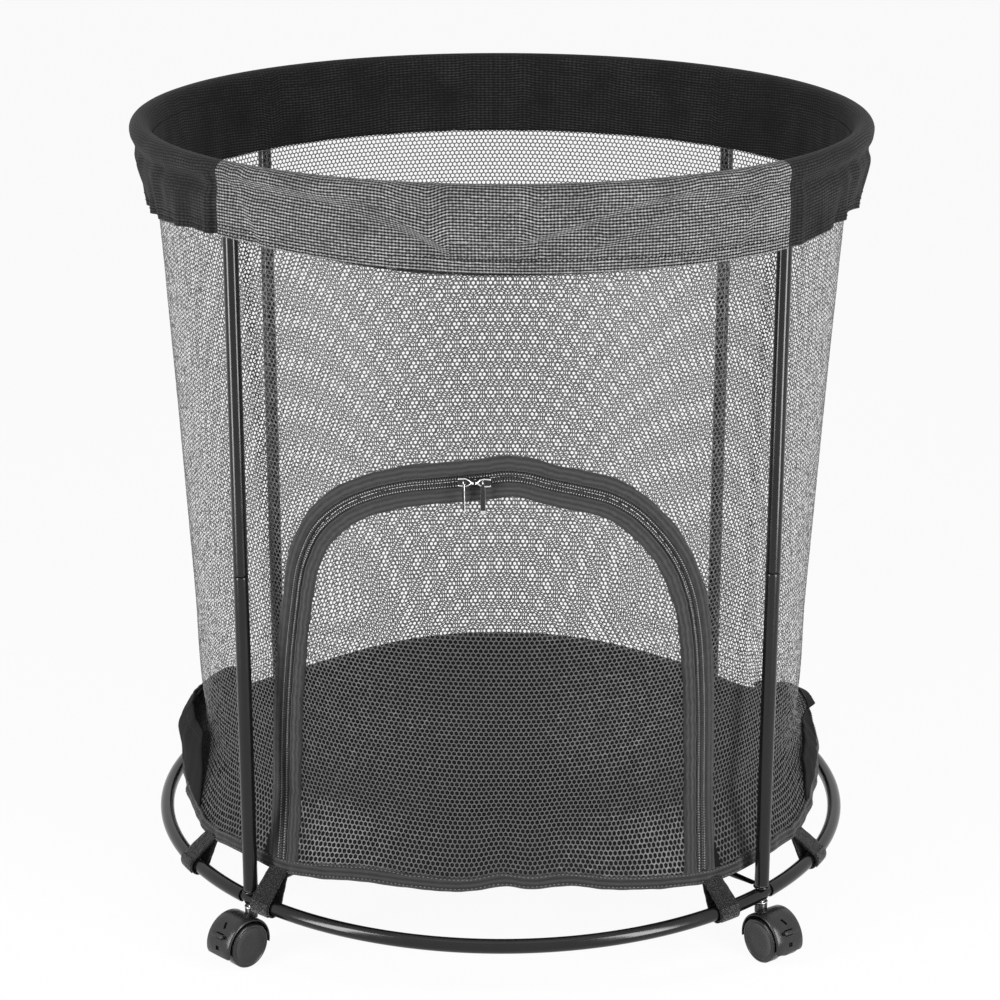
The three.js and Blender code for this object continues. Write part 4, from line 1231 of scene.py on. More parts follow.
@dataclass(frozen=True)
class Net:
    """The knitted net of six-sided holes, cut from one lattice for the wall and the door."""

    columns: int = 424
    rows: int = 143
    low: float = 0.1035
    high: float = 0.6112
    hole: float = 0.745
    edge_under: float = 0.0034
    uneven: float = 0.00028

    def holes(self) -> tuple[Array, Array, Array, Array]:
        """Lays out the holes.

        Returns:
            The bag's azimuth and height of each hole's middle, and of each hole's six corners.
        """
        rise = (self.high - self.low) / (self.rows - 1)
        turn = 360.0 / self.columns
        row, column = np.meshgrid(np.arange(self.rows), np.arange(self.columns), indexing="ij")
        azimuth = (column + 0.5 * (row % 2)) * turn
        height = self.low + row * rise
        corner = np.radians([90.0, 30.0, -30.0, -90.0, -150.0, 150.0])
        corner_azimuth = azimuth[..., None] + self.hole * turn / math.sqrt(3.0) * np.cos(corner)
        corner_height = height[..., None] + self.hole * rise * 2.0 / 3.0 * np.sin(corner)
        return azimuth, height, corner_azimuth, corner_height

    def faces(self, kept: Array) -> tuple[Array, Array]:
        """Lists the yarn between holes.

        Args:
            kept: Which holes of the lattice belong to the piece.

        Returns:
            The four-sided and the three-sided faces, as numbers of hole corners.
        """
        row, column = np.meshgrid(np.arange(self.rows), np.arange(self.columns), indexing="ij")
        above = np.minimum(row + 1, self.rows - 1)
        right = (column + 1) % self.columns
        upper_right = (column + row % 2) % self.columns
        upper_left = (column - 1 + row % 2) % self.columns
        topped = kept & (row < self.rows - 1)
        has_right = kept & kept[row, right]
        has_upper_right = topped & kept[above, upper_right]
        has_upper_left = topped & kept[above, upper_left]

        def corner(r: Array, c: Array, k: int, mask: Array) -> Array:
            """Returns the numbers of one corner of the holes that a mask keeps."""
            return ((r * self.columns + c) * 6 + k)[mask]

        def strip(mask: Array, *corners: tuple[Array, Array, int]) -> Array:
            """Lists faces from their corners where a mask allows them."""
            return np.stack([corner(r, c, k, mask) for r, c, k in corners], axis=-1)

        here = (row, column)
        quads = np.concatenate([
            strip(has_right, (*here, 1), (*here, 2), (row, right, 4), (row, right, 5)),
            strip(has_upper_right, (*here, 0), (*here, 1), (above, upper_right, 3), (above, upper_right, 4)),
            strip(has_upper_left, (*here, 5), (*here, 0), (above, upper_left, 2), (above, upper_left, 3)),
        ])
        triangles = np.concatenate([
            strip(
                has_upper_right & has_upper_left, (*here, 0), (above, upper_right, 4), (above, upper_left, 2)
            ),
            strip(has_right & has_upper_right, (*here, 1), (row, right, 5), (above, upper_right, 3)),
        ])
        return quads, triangles

    def cut(self, name: str, kept: Array, laid: tuple[Array, Array, Array, Array]) -> Piece:
        """Makes a piece of net from the holes that it keeps."""
        lie = np.random.default_rng(11).uniform(-self.uneven, self.uneven, laid[2].shape)
        points = BAG.at(laid[2], laid[3], lie).reshape(-1, 3)
        quads, triangles = self.faces(kept)
        used = np.unique(np.concatenate([quads.ravel(), triangles.ravel()]))
        number = np.zeros(len(points), np.int32)
        number[used] = np.arange(len(used))
        return dress(mesh_piece(name, points[used], [number[quads], number[triangles]]), Finish.YARN)

    def build(self) -> None:
        """Builds the wall in three pieces and the door's net."""
        laid = self.holes()
        azimuth = half_turn(laid[0])
        height = laid[1]
        side = flowing(BAG.heights, BAG.radii, height) * np.sin(np.radians(azimuth))
        front = np.abs(azimuth) < 80.0
        in_door = front & DOOR.inside(side, height, self.edge_under)
        in_wall = ~(front & DOOR.inside(side, height, -self.edge_under))
        for name, start, end in (("right", -5.0, 115.0), ("rear", 115.0, 235.0), ("left", 235.0, 355.0)):
            turned_by = (azimuth - start) % 360.0
            part = in_wall & (turned_by < end - start + 1.0)
            piece = self.cut(f"net_{name}", part, laid)
            fit(piece, "frame", "mesh_fabric", *(["bag_wall"] if name == "rear" else []))
        door = self.cut("net_door", in_door, laid)
        fold(door, "mesh_fabric", "door_panel")


def fold(piece: Piece, slot: str, *nodes: str) -> Piece:
    """Bakes a piece of the door's placing into its mesh, where its foot is sewn to the bag, and hides the
    solids that it stands for.

    Args:
        piece: The piece.
        slot: The record's material slot; not used.
        nodes: The solids that it replaces.

    Returns:
        The piece.
    """
    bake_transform(piece)
    if nodes:
        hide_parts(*nodes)
    LOG.info("%s bends onto the door: %d faces", piece.name, len(piece.data.polygons))
    return piece


@dataclass(frozen=True)
class Band:
    """The cloth sleeve over the top ring: a short skirt outside and a longer facing inside."""

    thick: float = 0.0013
    sleeve_r: float = 0.0083
    panel_edges: Pair = (-46.0, 44.1)
    skirt_rows: int = 31
    tuck_z: float = 0.6505
    tuck_depth: float = 0.0022
    side_tuck: float = 0.0026
    skirt_r: float = 0.3025
    held_out: float = 0.0055
    left_hug: float = 0.0068
    right_hug: float = 0.0034
    facing_foot_r: float = 0.2872
    facing_low_z: float = 0.5995
    crease_end: float = 0.012
    side_fold: float = 0.0022
    drops: tuple[Pair, ...] = (
        (-180.0, 0.606), (-135.0, 0.612), (-112.0, 0.603), (-90.0, 0.6), (-66.0, 0.607), (-54.0, 0.6125),
        (-44.5, 0.6135), (-30.0, 0.6095), (-12.0, 0.6045), (0.0, 0.603), (18.0, 0.6025), (36.0, 0.603),
        (47.0, 0.6045), (56.0, 0.6085), (66.0, 0.6095), (90.0, 0.6), (112.0, 0.603), (135.0, 0.612),
    )
    columns: int = 720
    creases: tuple[tuple[tuple[Pair, ...], float, float, float], ...] = (
        (
            ((-40.0, 0.656), (-33.0, 0.653), (-26.0, 0.648), (-19.0, 0.638), (-12.0, 0.622)),
            0.005, 0.015, 0.0062,
        ),
        (((-24.0, 0.656), (-19.0, 0.648), (-15.0, 0.637), (-10.5, 0.62)), 0.0026, 0.006, 0.0026),
        (((-43.0, 0.65), (-41.0, 0.635), (-39.0, 0.618)), 0.004, 0.01, 0.0026),
        (((25.0, 0.6545), (20.7, 0.652), (15.0, 0.645), (10.5, 0.6373), (4.0, 0.626)), 0.0034, 0.012, 0.0054),
        (((34.0, 0.65), (27.0, 0.644), (20.0, 0.632), (14.0, 0.62)), 0.004, 0.01, 0.003),
        (((41.0, 0.648), (38.0, 0.635), (36.0, 0.616)), 0.004, 0.009, 0.0022),
    )

    def skirt_radius(self, azimuth: Array) -> Array:
        """Returns the radius of the skirt's lower edge, which the posts hold out."""
        return self.skirt_r - self.held_out * np.cos(np.radians(4.0 * azimuth)) - self.hugging(azimuth)

    def hugging(self, azimuth: Array) -> Array:
        """Returns how far the skirt is drawn in onto the net at the two sides."""
        turn = half_turn(azimuth)
        return self.left_hug * bell(turn + 92.0, 22.0) + self.right_hug * bell(turn - 90.0, 22.0)

    def profile(self, azimuth: Array) -> Array:
        """Returns the band's face at each azimuth, from the skirt's edge over the ring to the facing's."""
        edge_r = self.skirt_radius(azimuth)
        knots = np.array(self.drops)
        edge_z = flowing(knots[:, 0], knots[:, 1], azimuth, 360.0)
        crest = self.sleeve_r
        share = np.linspace(0.0, 1.0, self.skirt_rows)[:, None]
        hug = self.hugging(azimuth)
        bend = 1.3 + 150.0 * hug
        skirt_r = edge_r + (RING_R + crest - edge_r) * np.sin(share * np.pi / 2.0) ** bend
        skirt_z = edge_z + (TOP_Z - edge_z) * share
        turn = half_turn(azimuth)
        side = ramp((np.abs(turn) - 46.0) / 6.0)
        uneven = ripple((np.radians(13.0 * turn), 1.0, 0.6), (np.radians(29.0 * turn), 0.7, 2.0))
        tuck = self.tuck_depth + self.side_tuck * side * (1.0 - 140.0 * hug) + 0.0005 * uneven
        skirt_r = skirt_r - tuck * bell(skirt_z - self.tuck_z, 0.0058)
        angle = np.radians(np.linspace(10.0, 170.0, 13))[:, None]
        over_r = RING_R + crest * np.cos(angle) + 0.0 * azimuth
        over_z = TOP_Z + crest * np.sin(angle) + 0.0 * azimuth
        down = np.linspace(0.0, 1.0, 15)[:, None]
        facing_r = RING_R - crest + (self.facing_foot_r - (RING_R - crest)) * down + 0.0 * azimuth
        hidden = np.maximum(self.facing_low_z, edge_z - 0.0052)
        facing_low = np.where(np.abs(turn) < 100.0, hidden, self.facing_low_z)
        facing_z = TOP_Z + (facing_low - TOP_Z) * down
        radii = np.concatenate([skirt_r, over_r, facing_r])
        heights = np.concatenate([skirt_z, over_z, facing_z])
        return np.stack([radii, heights], axis=-1)

    def creased(self, azimuth: Array, height: Array, outside: Array) -> Array:
        """Returns how far the cloth stands out of its plain form: creases, seam folds and puckers."""
        metres = np.radians(half_turn(azimuth)) * RING_R
        out = np.zeros(np.broadcast(metres, height).shape)
        for line, steep, gentle, depth in self.creases:
            knots = np.array(line)
            path = flowing_line(np.stack([np.radians(knots[:, 0]) * RING_R, knots[:, 1]], axis=-1), 0.003)
            forward = unit(np.gradient(path, axis=0))
            above = np.stack([-forward[:, 1], forward[:, 0]], axis=-1) * np.sign(forward[:, :1])
            gap = np.full(out.shape, 1.0)
            signed = np.zeros(out.shape)
            for (a, z), (na, nz) in zip(path, above):
                d = np.hypot(metres - a, height - z)
                signed = np.where(d < gap, (metres - a) * na + (height - z) * nz, signed)
                gap = np.minimum(gap, d)
            beyond = np.sqrt(np.maximum(gap**2 - signed**2, 0.0))
            reach = np.where(signed > 0.0, steep, gentle)
            groove = bell(signed, reach) * bell(beyond, self.crease_end)
            lip = bell(signed - 2.0 * steep, steep) * bell(beyond, self.crease_end)
            out += depth * (0.35 * lip - groove)
        for edge in self.panel_edges:
            away = (metres - math.radians(edge) * RING_R) * np.sign(edge)
            out += 0.001 * bell(away + 0.002, 0.003) - 0.0044 * bell(away - 0.0048, 0.0036)
            out += 0.002 * bell(away - 0.013, 0.0042)
        sides = ramp((np.abs(half_turn(azimuth)) - 49.0) / 8.0)
        lower = ramp((TOP_Z - height) / 0.05)
        angle = np.radians(azimuth)
        folds = ripple(
            (43.0 * angle + 40.0 * height, 1.0, 0.3),
            (71.0 * angle - 30.0 * height, 0.6, 1.1),
            (19.0 * angle, 0.8, 2.2),
        )
        puckers = ripple((160.0 * angle, 1.0, 0.0), (97.0 * angle + 60.0 * height, 0.8, 0.5))
        edge = bell(height - 0.613, 0.008)
        out = out * lower**0.3 + sides * lower * self.side_fold * folds + edge * 0.0003 * puckers
        return np.where(outside, out, 0.00035 * folds * ramp((TOP_Z - height) / 0.03))

    def surface(self) -> tuple[Array, Array]:
        """Returns the band's points, rows from the skirt's edge to the facing's, and their flat places."""
        azimuth = np.linspace(-180.0, 180.0, self.columns, endpoint=False)
        shape = self.profile(azimuth)
        radii, heights = shape[..., 0], shape[..., 1]
        outside = np.arange(len(shape))[:, None] < self.skirt_rows
        radii = radii + self.creased(azimuth[None], heights, outside)
        net_r = flowing(BAG.heights, BAG.radii, np.minimum(heights, 0.6112))
        radii = np.where(outside, np.maximum(radii, net_r + self.thick + 0.0004), radii)
        for post in POST_AZIMUTHS.values():
            away = np.radians(azimuth - post)
            across = RING_R * np.sin(away) + 1.0 * (np.cos(away) < 0.0)
            held = RING_R + TUBE_R + self.thick + 0.0006 - 0.0014 * (across / TUBE_R) ** 2
            radii = np.where(outside & (np.abs(across) < 2.2 * TUBE_R), np.maximum(radii, held), radii)
        points = polar(radii, azimuth[None], heights)
        return points, round_flat(points, azimuth, RING_R)

    def build(self) -> None:
        """Builds the band, its sewn rows and the blank patch on its front."""
        points, flat = self.surface()
        rows = len(points)
        closed_points = np.concatenate([points, points[:, :1]], axis=1)
        last = flat[:, :1] + np.array([2.0 * math.pi * RING_R, 0.0])
        closed_flat = np.concatenate([flat, last], axis=1)
        faces = grid_faces(rows, self.columns + 1)
        piece = mesh_piece("band_sleeve", closed_points, [faces], closed_flat)
        dress(piece, Finish.SIDE_CLOTH, Finish.FRONT_CLOTH)
        column = np.tile(np.arange(self.columns), rows - 1)
        azimuth = -180.0 + 360.0 * (column + 0.5) / self.columns
        row = np.repeat(np.arange(rows - 1), self.columns)
        left, right = self.panel_edges
        front = (azimuth > left) & (azimuth < right) & (row < self.skirt_rows + 8)
        piece.data.polygons.foreach_set("material_index", front.astype(np.int32))
        thicken(piece, self.thick)
        seams = (("hem", 5), ("edge", 2), ("rim", self.skirt_rows + 15))
        extras = [self.sewn(points, f"band_{name}_stitches", place) for name, place in seams]
        extras += self.patch(points)
        fit(piece, "frame", "band_fabric", "bag_band")
        for extra in extras:
            fit(extra, "frame", "band_fabric")

    def sewn(self, points: Array, name: str, row: int) -> Piece:
        """Sews a row of stitches round the band on one row of its points."""
        line = np.concatenate([points[row], points[row][:1]])
        outward = polar(1.0, np.linspace(-180.0, 180.0, len(line)), 0.0)
        if row > self.skirt_rows + 6:
            outward = -outward
        normals = outward + np.array([0.0, 0.0, 0.2])
        thread = stitch_row(name, line + 0.0001 * outward, normals, 0.0028, 0.001, 0.00045)
        return dress(thread, Finish.BAND_THREAD)

    def patch(self, points: Array) -> list[Piece]:
        """Sews a blank rectangle of the same cloth on the front of the skirt."""
        azimuths = np.linspace(-8.7, 3.7, 49)
        heights = np.linspace(0.613, 0.6272, 9)
        table = np.linspace(-180.0, 180.0, self.columns, endpoint=False)
        radius_rows = np.linalg.norm(points[: self.skirt_rows, :, :2], axis=2)
        grid = []
        for height in heights:
            column_r = []
            for azimuth in azimuths:
                i = int(np.argmin(np.abs(table - azimuth)))
                column_r.append(np.interp(height, points[: self.skirt_rows, i, 2], radius_rows[:, i]))
            grid.append(polar(np.array(column_r) + 0.0005, azimuths, height))
        grid = np.array(grid)
        flat = np.stack(np.meshgrid(np.radians(azimuths) * RING_R, heights), axis=-1)
        cloth = mesh_piece("band_patch", grid, [grid_faces(len(heights), len(azimuths))], flat)
        dress(thicken(cloth, 0.0005), Finish.FRONT_CLOTH)
        edge = np.concatenate([grid[1, 1:-1], grid[1:-1, -2], grid[-2, -2:0:-1], grid[-2:0:-1, 1]])
        normals = unit(edge * np.array([1.0, 1.0, 0.0]))
        line = edge + 0.0001 * normals
        thread = stitch_row("band_patch_stitches", line, normals, 0.0024, 0.0008, 0.0004)
        return [cloth, dress(thread, Finish.BAND_THREAD)]


@dataclass(frozen=True)
class Hem:
    """The solid cloth strip sewn to the foot of the net, which the straps pull down and out."""

    thick: float = 0.0015
    columns: int = 540

    def rows(self, azimuth: Array, count: int) -> Array:
        """Returns the strip's outer face from its lower edge up."""
        edge_r, edge_z = BAG.lower_edge(azimuth)
        top_r, top_z = BAG.hem_top(azimuth)
        share = np.linspace(0.0, 1.0, count)[:, None]
        radii = edge_r + (top_r + 0.0014 - edge_r) * share
        heights = edge_z + (top_z + 0.0015 - edge_z) * share
        angle = np.radians(azimuth)
        slack = ripple((37.0 * angle, 1.0, 0.2), (61.0 * angle, 0.8, 1.4), (103.0 * angle, 0.6, 0.9))
        radii = radii + 0.0009 * slack * np.sin(np.pi * (0.25 + share * 0.6)) + 0.0008 * np.sin(np.pi * share)
        heights = heights + 0.0005 * (1.0 - share) * slack
        return polar(radii, azimuth, heights)

    def build(self) -> None:
        """Builds the strip and its two sewn rows."""
        azimuth = np.linspace(-180.0, 180.0, self.columns + 1)
        points = self.rows(azimuth, 11)
        flat = round_flat(points, azimuth, 0.275)
        piece = mesh_piece("bag_foot_hem", points, [grid_faces(*points.shape[:2])], flat)
        dress(thicken(piece, self.thick), Finish.HEM)
        outward = polar(1.0, azimuth, 0.3)
        stitches = [
            dress(stitch_row(name, points[row] + 0.0001 * outward, outward, radius=0.0004), Finish.HEM_THREAD)
            for name, row in (("hem_edge_stitches", 2), ("hem_top_stitches", 9))
        ]
        fit(piece, "frame", "hem_fabric", "bag_hem")
        for extra in stitches:
            fit(extra, "frame", "hem_fabric")


@dataclass(frozen=True)
class SideGuard:
    """A cloth patch over the bag's foot at one side, which stands out where the straps pull."""

    name: str
    side: float
    form: tuple[Pair, ...]
    middle: float = 86.0
    spread: float = 13.0
    ends: Pair = (69.0, 119.0)
    thick: float = 0.0012

    def azimuths(self, share: Array) -> Array:
        """Returns the azimuths of the patch's points, its front edge slanting back from foot to top."""
        column = np.linspace(*self.ends, 61)
        slant = 5.0 * (self.ends[1] - column) / (self.ends[1] - self.ends[0])
        return np.sort(self.side * (column + slant * share), axis=1)

    def surface(self) -> Array:
        """Returns the patch's outer face, rows from its foot at the hem to its free top edge."""
        share = np.linspace(0.0, 1.0, 17)[:, None]
        azimuth = self.azimuths(share)
        column = np.abs(azimuth)
        _, hem_z = BAG.hem_top(azimuth)
        bulge = bell(column - self.middle, self.spread)
        top = self.form[-1][0] - 0.01 * (1.0 - bulge)
        rear = np.clip((self.ends[1] + 1.0 - column) / 20.0, 0.02, 1.0)
        fore = np.clip((column - self.ends[0] + 1.0) / 6.0, 0.3, 1.0)
        heights = hem_z + 0.0012 + (top - hem_z - 0.0012) * share * np.sqrt(rear * (2.0 - rear)) * fore**0.25
        stretch = (BAG.pull_z - hem_z) / (BAG.pull_z - BAG.foot_z)
        plain = BAG.pull_z - (BAG.pull_z - heights) / stretch
        net_r, _ = BAG.pulled(azimuth, BAG.radius(azimuth - BAG_TURN, plain), plain)
        close = net_r + 0.0017
        form_r = flowing([z for z, _ in self.form], [r for _, r in self.form], heights)
        angle = np.radians(azimuth)
        folds = ripple((61.0 * angle + 30.0 * heights, 1.0, 0.4), (113.0 * angle - 50.0 * heights, 0.6, 1.7))
        radii = close + bulge * np.maximum(form_r - close, 0.0) + 0.0005 * folds * bulge
        return polar(radii, azimuth, heights)

    def build(self) -> None:
        """Builds the patch and the sewn row along its top edge."""
        points = self.surface()
        flat = round_flat(points, self.azimuths(np.zeros((1, 1))), 0.28)
        piece = mesh_piece(f"guard_{self.name}", points, [grid_faces(*points.shape[:2])], flat)
        dress(thicken(piece, self.thick), Finish.GUARD)
        seam = points[-3]
        outward = unit(seam * np.array([1.0, 1.0, 0.0]))
        thread = stitch_row(f"guard_stitches_{self.name}", seam + 0.0001 * outward, outward)
        stitches = dress(thread, Finish.THREAD)
        fit(piece, "frame", "hem_fabric")
        fit(stitches, "frame", "hem_fabric")


@dataclass(frozen=True)
class BagFloor:
    """The bag's cloth floor, which sags between the cross rods and rises to the hem."""

    flat_r: float = 0.176
    level: float = 0.0662
    thick: float = 0.0012

    def build(self) -> None:
        """Builds the floor and its seam."""
        azimuth = np.linspace(-180.0, 180.0, 181)
        top_r, top_z = BAG.hem_top(azimuth)
        inner = np.linspace(0.004, self.flat_r, 16)[:, None] + 0.0 * azimuth
        climb = np.concatenate([np.zeros((16, 1)), np.linspace(0.08, 1.0, 12)[:, None]]) + 0.0 * azimuth
        radii = np.concatenate([inner, self.flat_r + (top_r - 0.0016 - self.flat_r) * climb[16:]])
        angle = np.radians(azimuth)
        sag = ripple((7.0 * angle + 30.0 * radii, 1.0, 0.0), (13.0 * angle - 22.0 * radii, 0.6, 1.0))
        heights = self.level + (top_z - 0.003 - self.level) * climb**1.5
        heights = heights + 0.0009 * sag * (1.0 - climb) * np.clip(radii / 0.05, 0.0, 1.0)
        points = polar(radii, azimuth, heights)
        flat = np.stack(np.broadcast_arrays(points[..., 0], points[..., 1]), axis=-1)
        piece = mesh_piece("bag_floor_cloth", points, [grid_faces(*points.shape[:2])], flat)
        count = len(azimuth) - 1
        fan = np.array([[i, (i + 1) % count, count] for i in range(count)])
        inside = np.concatenate([points[0, :-1], [[0.0, 0.0, self.level]]])
        middle = mesh_piece("floor_middle", inside, [fan], np.zeros((count + 1, 2)))
        piece = merged("bag_floor_cloth", [piece, middle])
        weld(piece, 1e-5)
        self.face_up(piece)
        dress(thicken(piece, self.thick), Finish.FLOOR)
        seam = points[-3]
        thread = stitch_row("floor_seam_stitches", seam, np.tile([0.0, 0.0, 1.0], (len(seam), 1)))
        stitches = dress(thread, Finish.THREAD)
        fit(piece, "frame", "hem_fabric", "bag_floor")
        fit(stitches, "frame", "hem_fabric")

    def face_up(self, piece: Piece) -> None:
        """Turns every face of the floor upwards."""
        shape = bmesh.new()
        shape.from_mesh(piece.data)
        down = [face for face in shape.faces if face.normal.z < 0.0]
        bmesh.ops.reverse_faces(shape, faces=down)
        shape.to_mesh(piece.data)
        shape.free()


# The zipped door


@dataclass(frozen=True)
class Zip:
    """The zip's two bound tapes and their rows of teeth."""

    side_zone: float = 0.004
    top_zone: float = 0.005
    side_binding: float = 0.0072
    side_inner: float = 0.0094
    top_binding: float = 0.0118
    tooth_pitch: float = 0.002
    tooth_gap: float = 0.0002

    def offset(self, distance: Array, proud: Array) -> Array:
        """Returns points at distances from the zip's line, outwards from the door, and off the bag's face."""
        line, out = DOOR.flat(), DOOR.outward()
        x = line[:, :1] + out[:, :1] * distance
        height = np.maximum(line[:, 1:] + out[:, 1:] * distance, 0.1035)
        return BAG.across(x, height, proud)

    def seam(self) -> tuple[Array, Array]:
        """Returns the zip's line on the bag's face and the direction off the face at each of its points."""
        level = np.zeros((len(DOOR.flat()), 1))
        line = self.offset(level, 0.0)[:, 0]
        return line, unit(self.offset(level, 0.01)[:, 0] - line)

    def widths(self, side: float = 1.0) -> tuple[Array, Array]:
        """Returns the widths of the teeth's zone and of one side's binding at each point of the line."""
        top = DOOR.topness()
        zone = self.side_zone + (self.top_zone - self.side_zone) * top
        binding = self.side_binding if side > 0.0 else self.side_inner
        return zone, binding + (self.top_binding - binding) * top

    def tape(self, name: str, side: float) -> tuple[Piece, list[Piece]]:
        """Makes one bound tape.

        Args:
            name: The piece's name.
            side: 1 for the tape outside the door and -1 for the door's own.

        Returns:
            The tape and its rows of stitches.
        """
        zone, binding = self.widths(side)
        end = zone + binding
        middle, out = self.seam()
        along = distances(middle)
        gather = 0.00018 * ripple(
            (along * 620.0, 1.0, side), (along * 1370.0, 0.6, 0.4), (along * 255.0, 1.2, 2.0)
        )
        bow = 0.0003 * ripple((along * 90.0, 1.0, side * 2.0), (along * 203.0, 0.7, 0.3))
        steps = [
            (0.0003 + 0.0 * zone, 0.0002), (zone * 0.6, 0.0003), (zone - 0.0003, 0.0004), (zone, 0.0014),
            (zone + 0.0004, 0.0019), (zone + 0.0013, 0.0021), (zone + 0.0017, 0.0018),
            (zone + 0.0021, 0.0021), (zone + binding * 0.5, 0.0023), (end - 0.0021, 0.0021),
            (end - 0.0017, 0.0018), (end - 0.0013, 0.0021),
            (end - 0.0004, 0.0018), (end, 0.0011), (end - 0.0001, -0.0004), (end - 0.0008, -0.001),
            (zone + binding * 0.5, -0.0012), (zone, -0.001), (zone * 0.5, -0.0006),
            (0.0003 + 0.0 * zone, -0.0005),
        ]
        distance = np.stack([side * (d + bow * (9 <= i <= 15)) for i, (d, _) in enumerate(steps)], axis=-1)
        proud = np.stack([p + gather * (3 <= i <= 12) for i, (_, p) in enumerate(steps)], axis=-1)
        points = self.offset(distance, proud)
        faces = closed_faces(*points.shape[:2])
        if side < 0.0:
            faces = [f[:, ::-1] for f in faces]
        tape = dress(mesh_piece(name, points, faces, swept_flat(along, points)), Finish.BINDING)
        rows = []
        for label, place in (("inner", zone + 0.0017), ("outer", end - 0.0017)):
            line = self.offset((side * place)[:, None], (0.0019 + gather)[:, None])[:, 0]
            thread = stitch_row(f"{name}_{label}_stitches", line, out, 0.0022, 0.0009, 0.00022)
            rows.append(dress(thread, Finish.THREAD))
        return tape, rows

    def teeth(self, name: str, side: float) -> Piece:
        """Makes one row of coil teeth, each a rounded bead across the tape."""
        zone, _ = self.widths()
        where = distances(self.seam()[0])
        start = self.tooth_pitch * (0.5 if side > 0 else 1.0)
        at = np.arange(start, where[-1] - self.tooth_pitch, self.tooth_pitch)
        top = np.interp(at, where, zone)
        line = sample(DOOR.flat(), at, where)
        out = unit(sample(DOOR.outward(), at, where))
        forward = np.stack([out[:, 1], -out[:, 0]], axis=-1)
        rings = [
            (0.0, 0.35, 0.35), (0.1, 0.75, 0.7), (0.35, 0.9, 0.85),
            (0.7, 1.0, 1.0), (0.9, 0.8, 0.75), (1.0, 0.35, 0.35),
        ]
        corners = [(1.0, 0.0), (0.7, 0.75), (0.0, 1.0), (-0.7, 0.75), (-1.0, 0.0)]
        half, tall = self.tooth_pitch * 0.34, 0.0016
        points = []
        for share, wide, high in rings:
            reach = side * (self.tooth_gap + (top - 0.0006 - self.tooth_gap) * share)
            for a, b in corners:
                flat = line + out * reach[:, None] + forward * (a * wide * half)
                height = np.maximum(flat[:, 1], 0.1035)
                points.append(BAG.across(flat[:, 0], height, 0.0006 + b * high * tall))
        points = np.stack(points, axis=1)
        rows, sides = len(rings), len(corners)
        faces = [grid_faces(rows, sides), end_caps(rows, sides)]
        if side < 0.0:
            faces = [f[:, ::-1] for f in faces]
        shift = (rows * sides * np.arange(len(at)))[:, None, None]
        sets = [(f[None] + shift).reshape(-1, f.shape[1]) for f in faces]
        return dress(mesh_piece(name, points, sets), Finish.TEETH)

    def coil_seam(self, name: str, side: float) -> Piece:
        """Makes the light sewing line that holds one coil to its tape."""
        zone, _ = self.widths()
        line = self.offset((side * zone * 0.56)[:, None], np.full((len(zone), 1), 0.0023))[:, 0]
        return dress(stitch_row(name, line, self.seam()[1], 0.0013, 0.0009, 0.0005), Finish.COIL_THREAD)

    def build(self) -> None:
        """Builds both tapes, both rows of teeth and their sewing lines."""
        outer, outer_rows = self.tape("zip_binding_outer", 1.0)
        fit(outer, "frame", "band_fabric", "zip_tape_outer")
        for row in outer_rows:
            fit(row, "frame", "band_fabric")
        fit(self.teeth("zip_teeth_outer", 1.0), "frame", "zip_chain", "zip_chain_outer")
        fit(self.coil_seam("zip_coil_stitches_outer", 1.0), "frame", "zip_chain")
        inner, inner_rows = self.tape("zip_binding_inner", -1.0)
        fold(inner, "band_fabric", "zip_tape_inner")
        for row in inner_rows:
            fold(row, "band_fabric")
        fold(self.teeth("zip_teeth_inner", -1.0), "zip_chain", "zip_chain_inner")
        fold(self.coil_seam("zip_coil_stitches_inner", -1.0), "zip_chain")


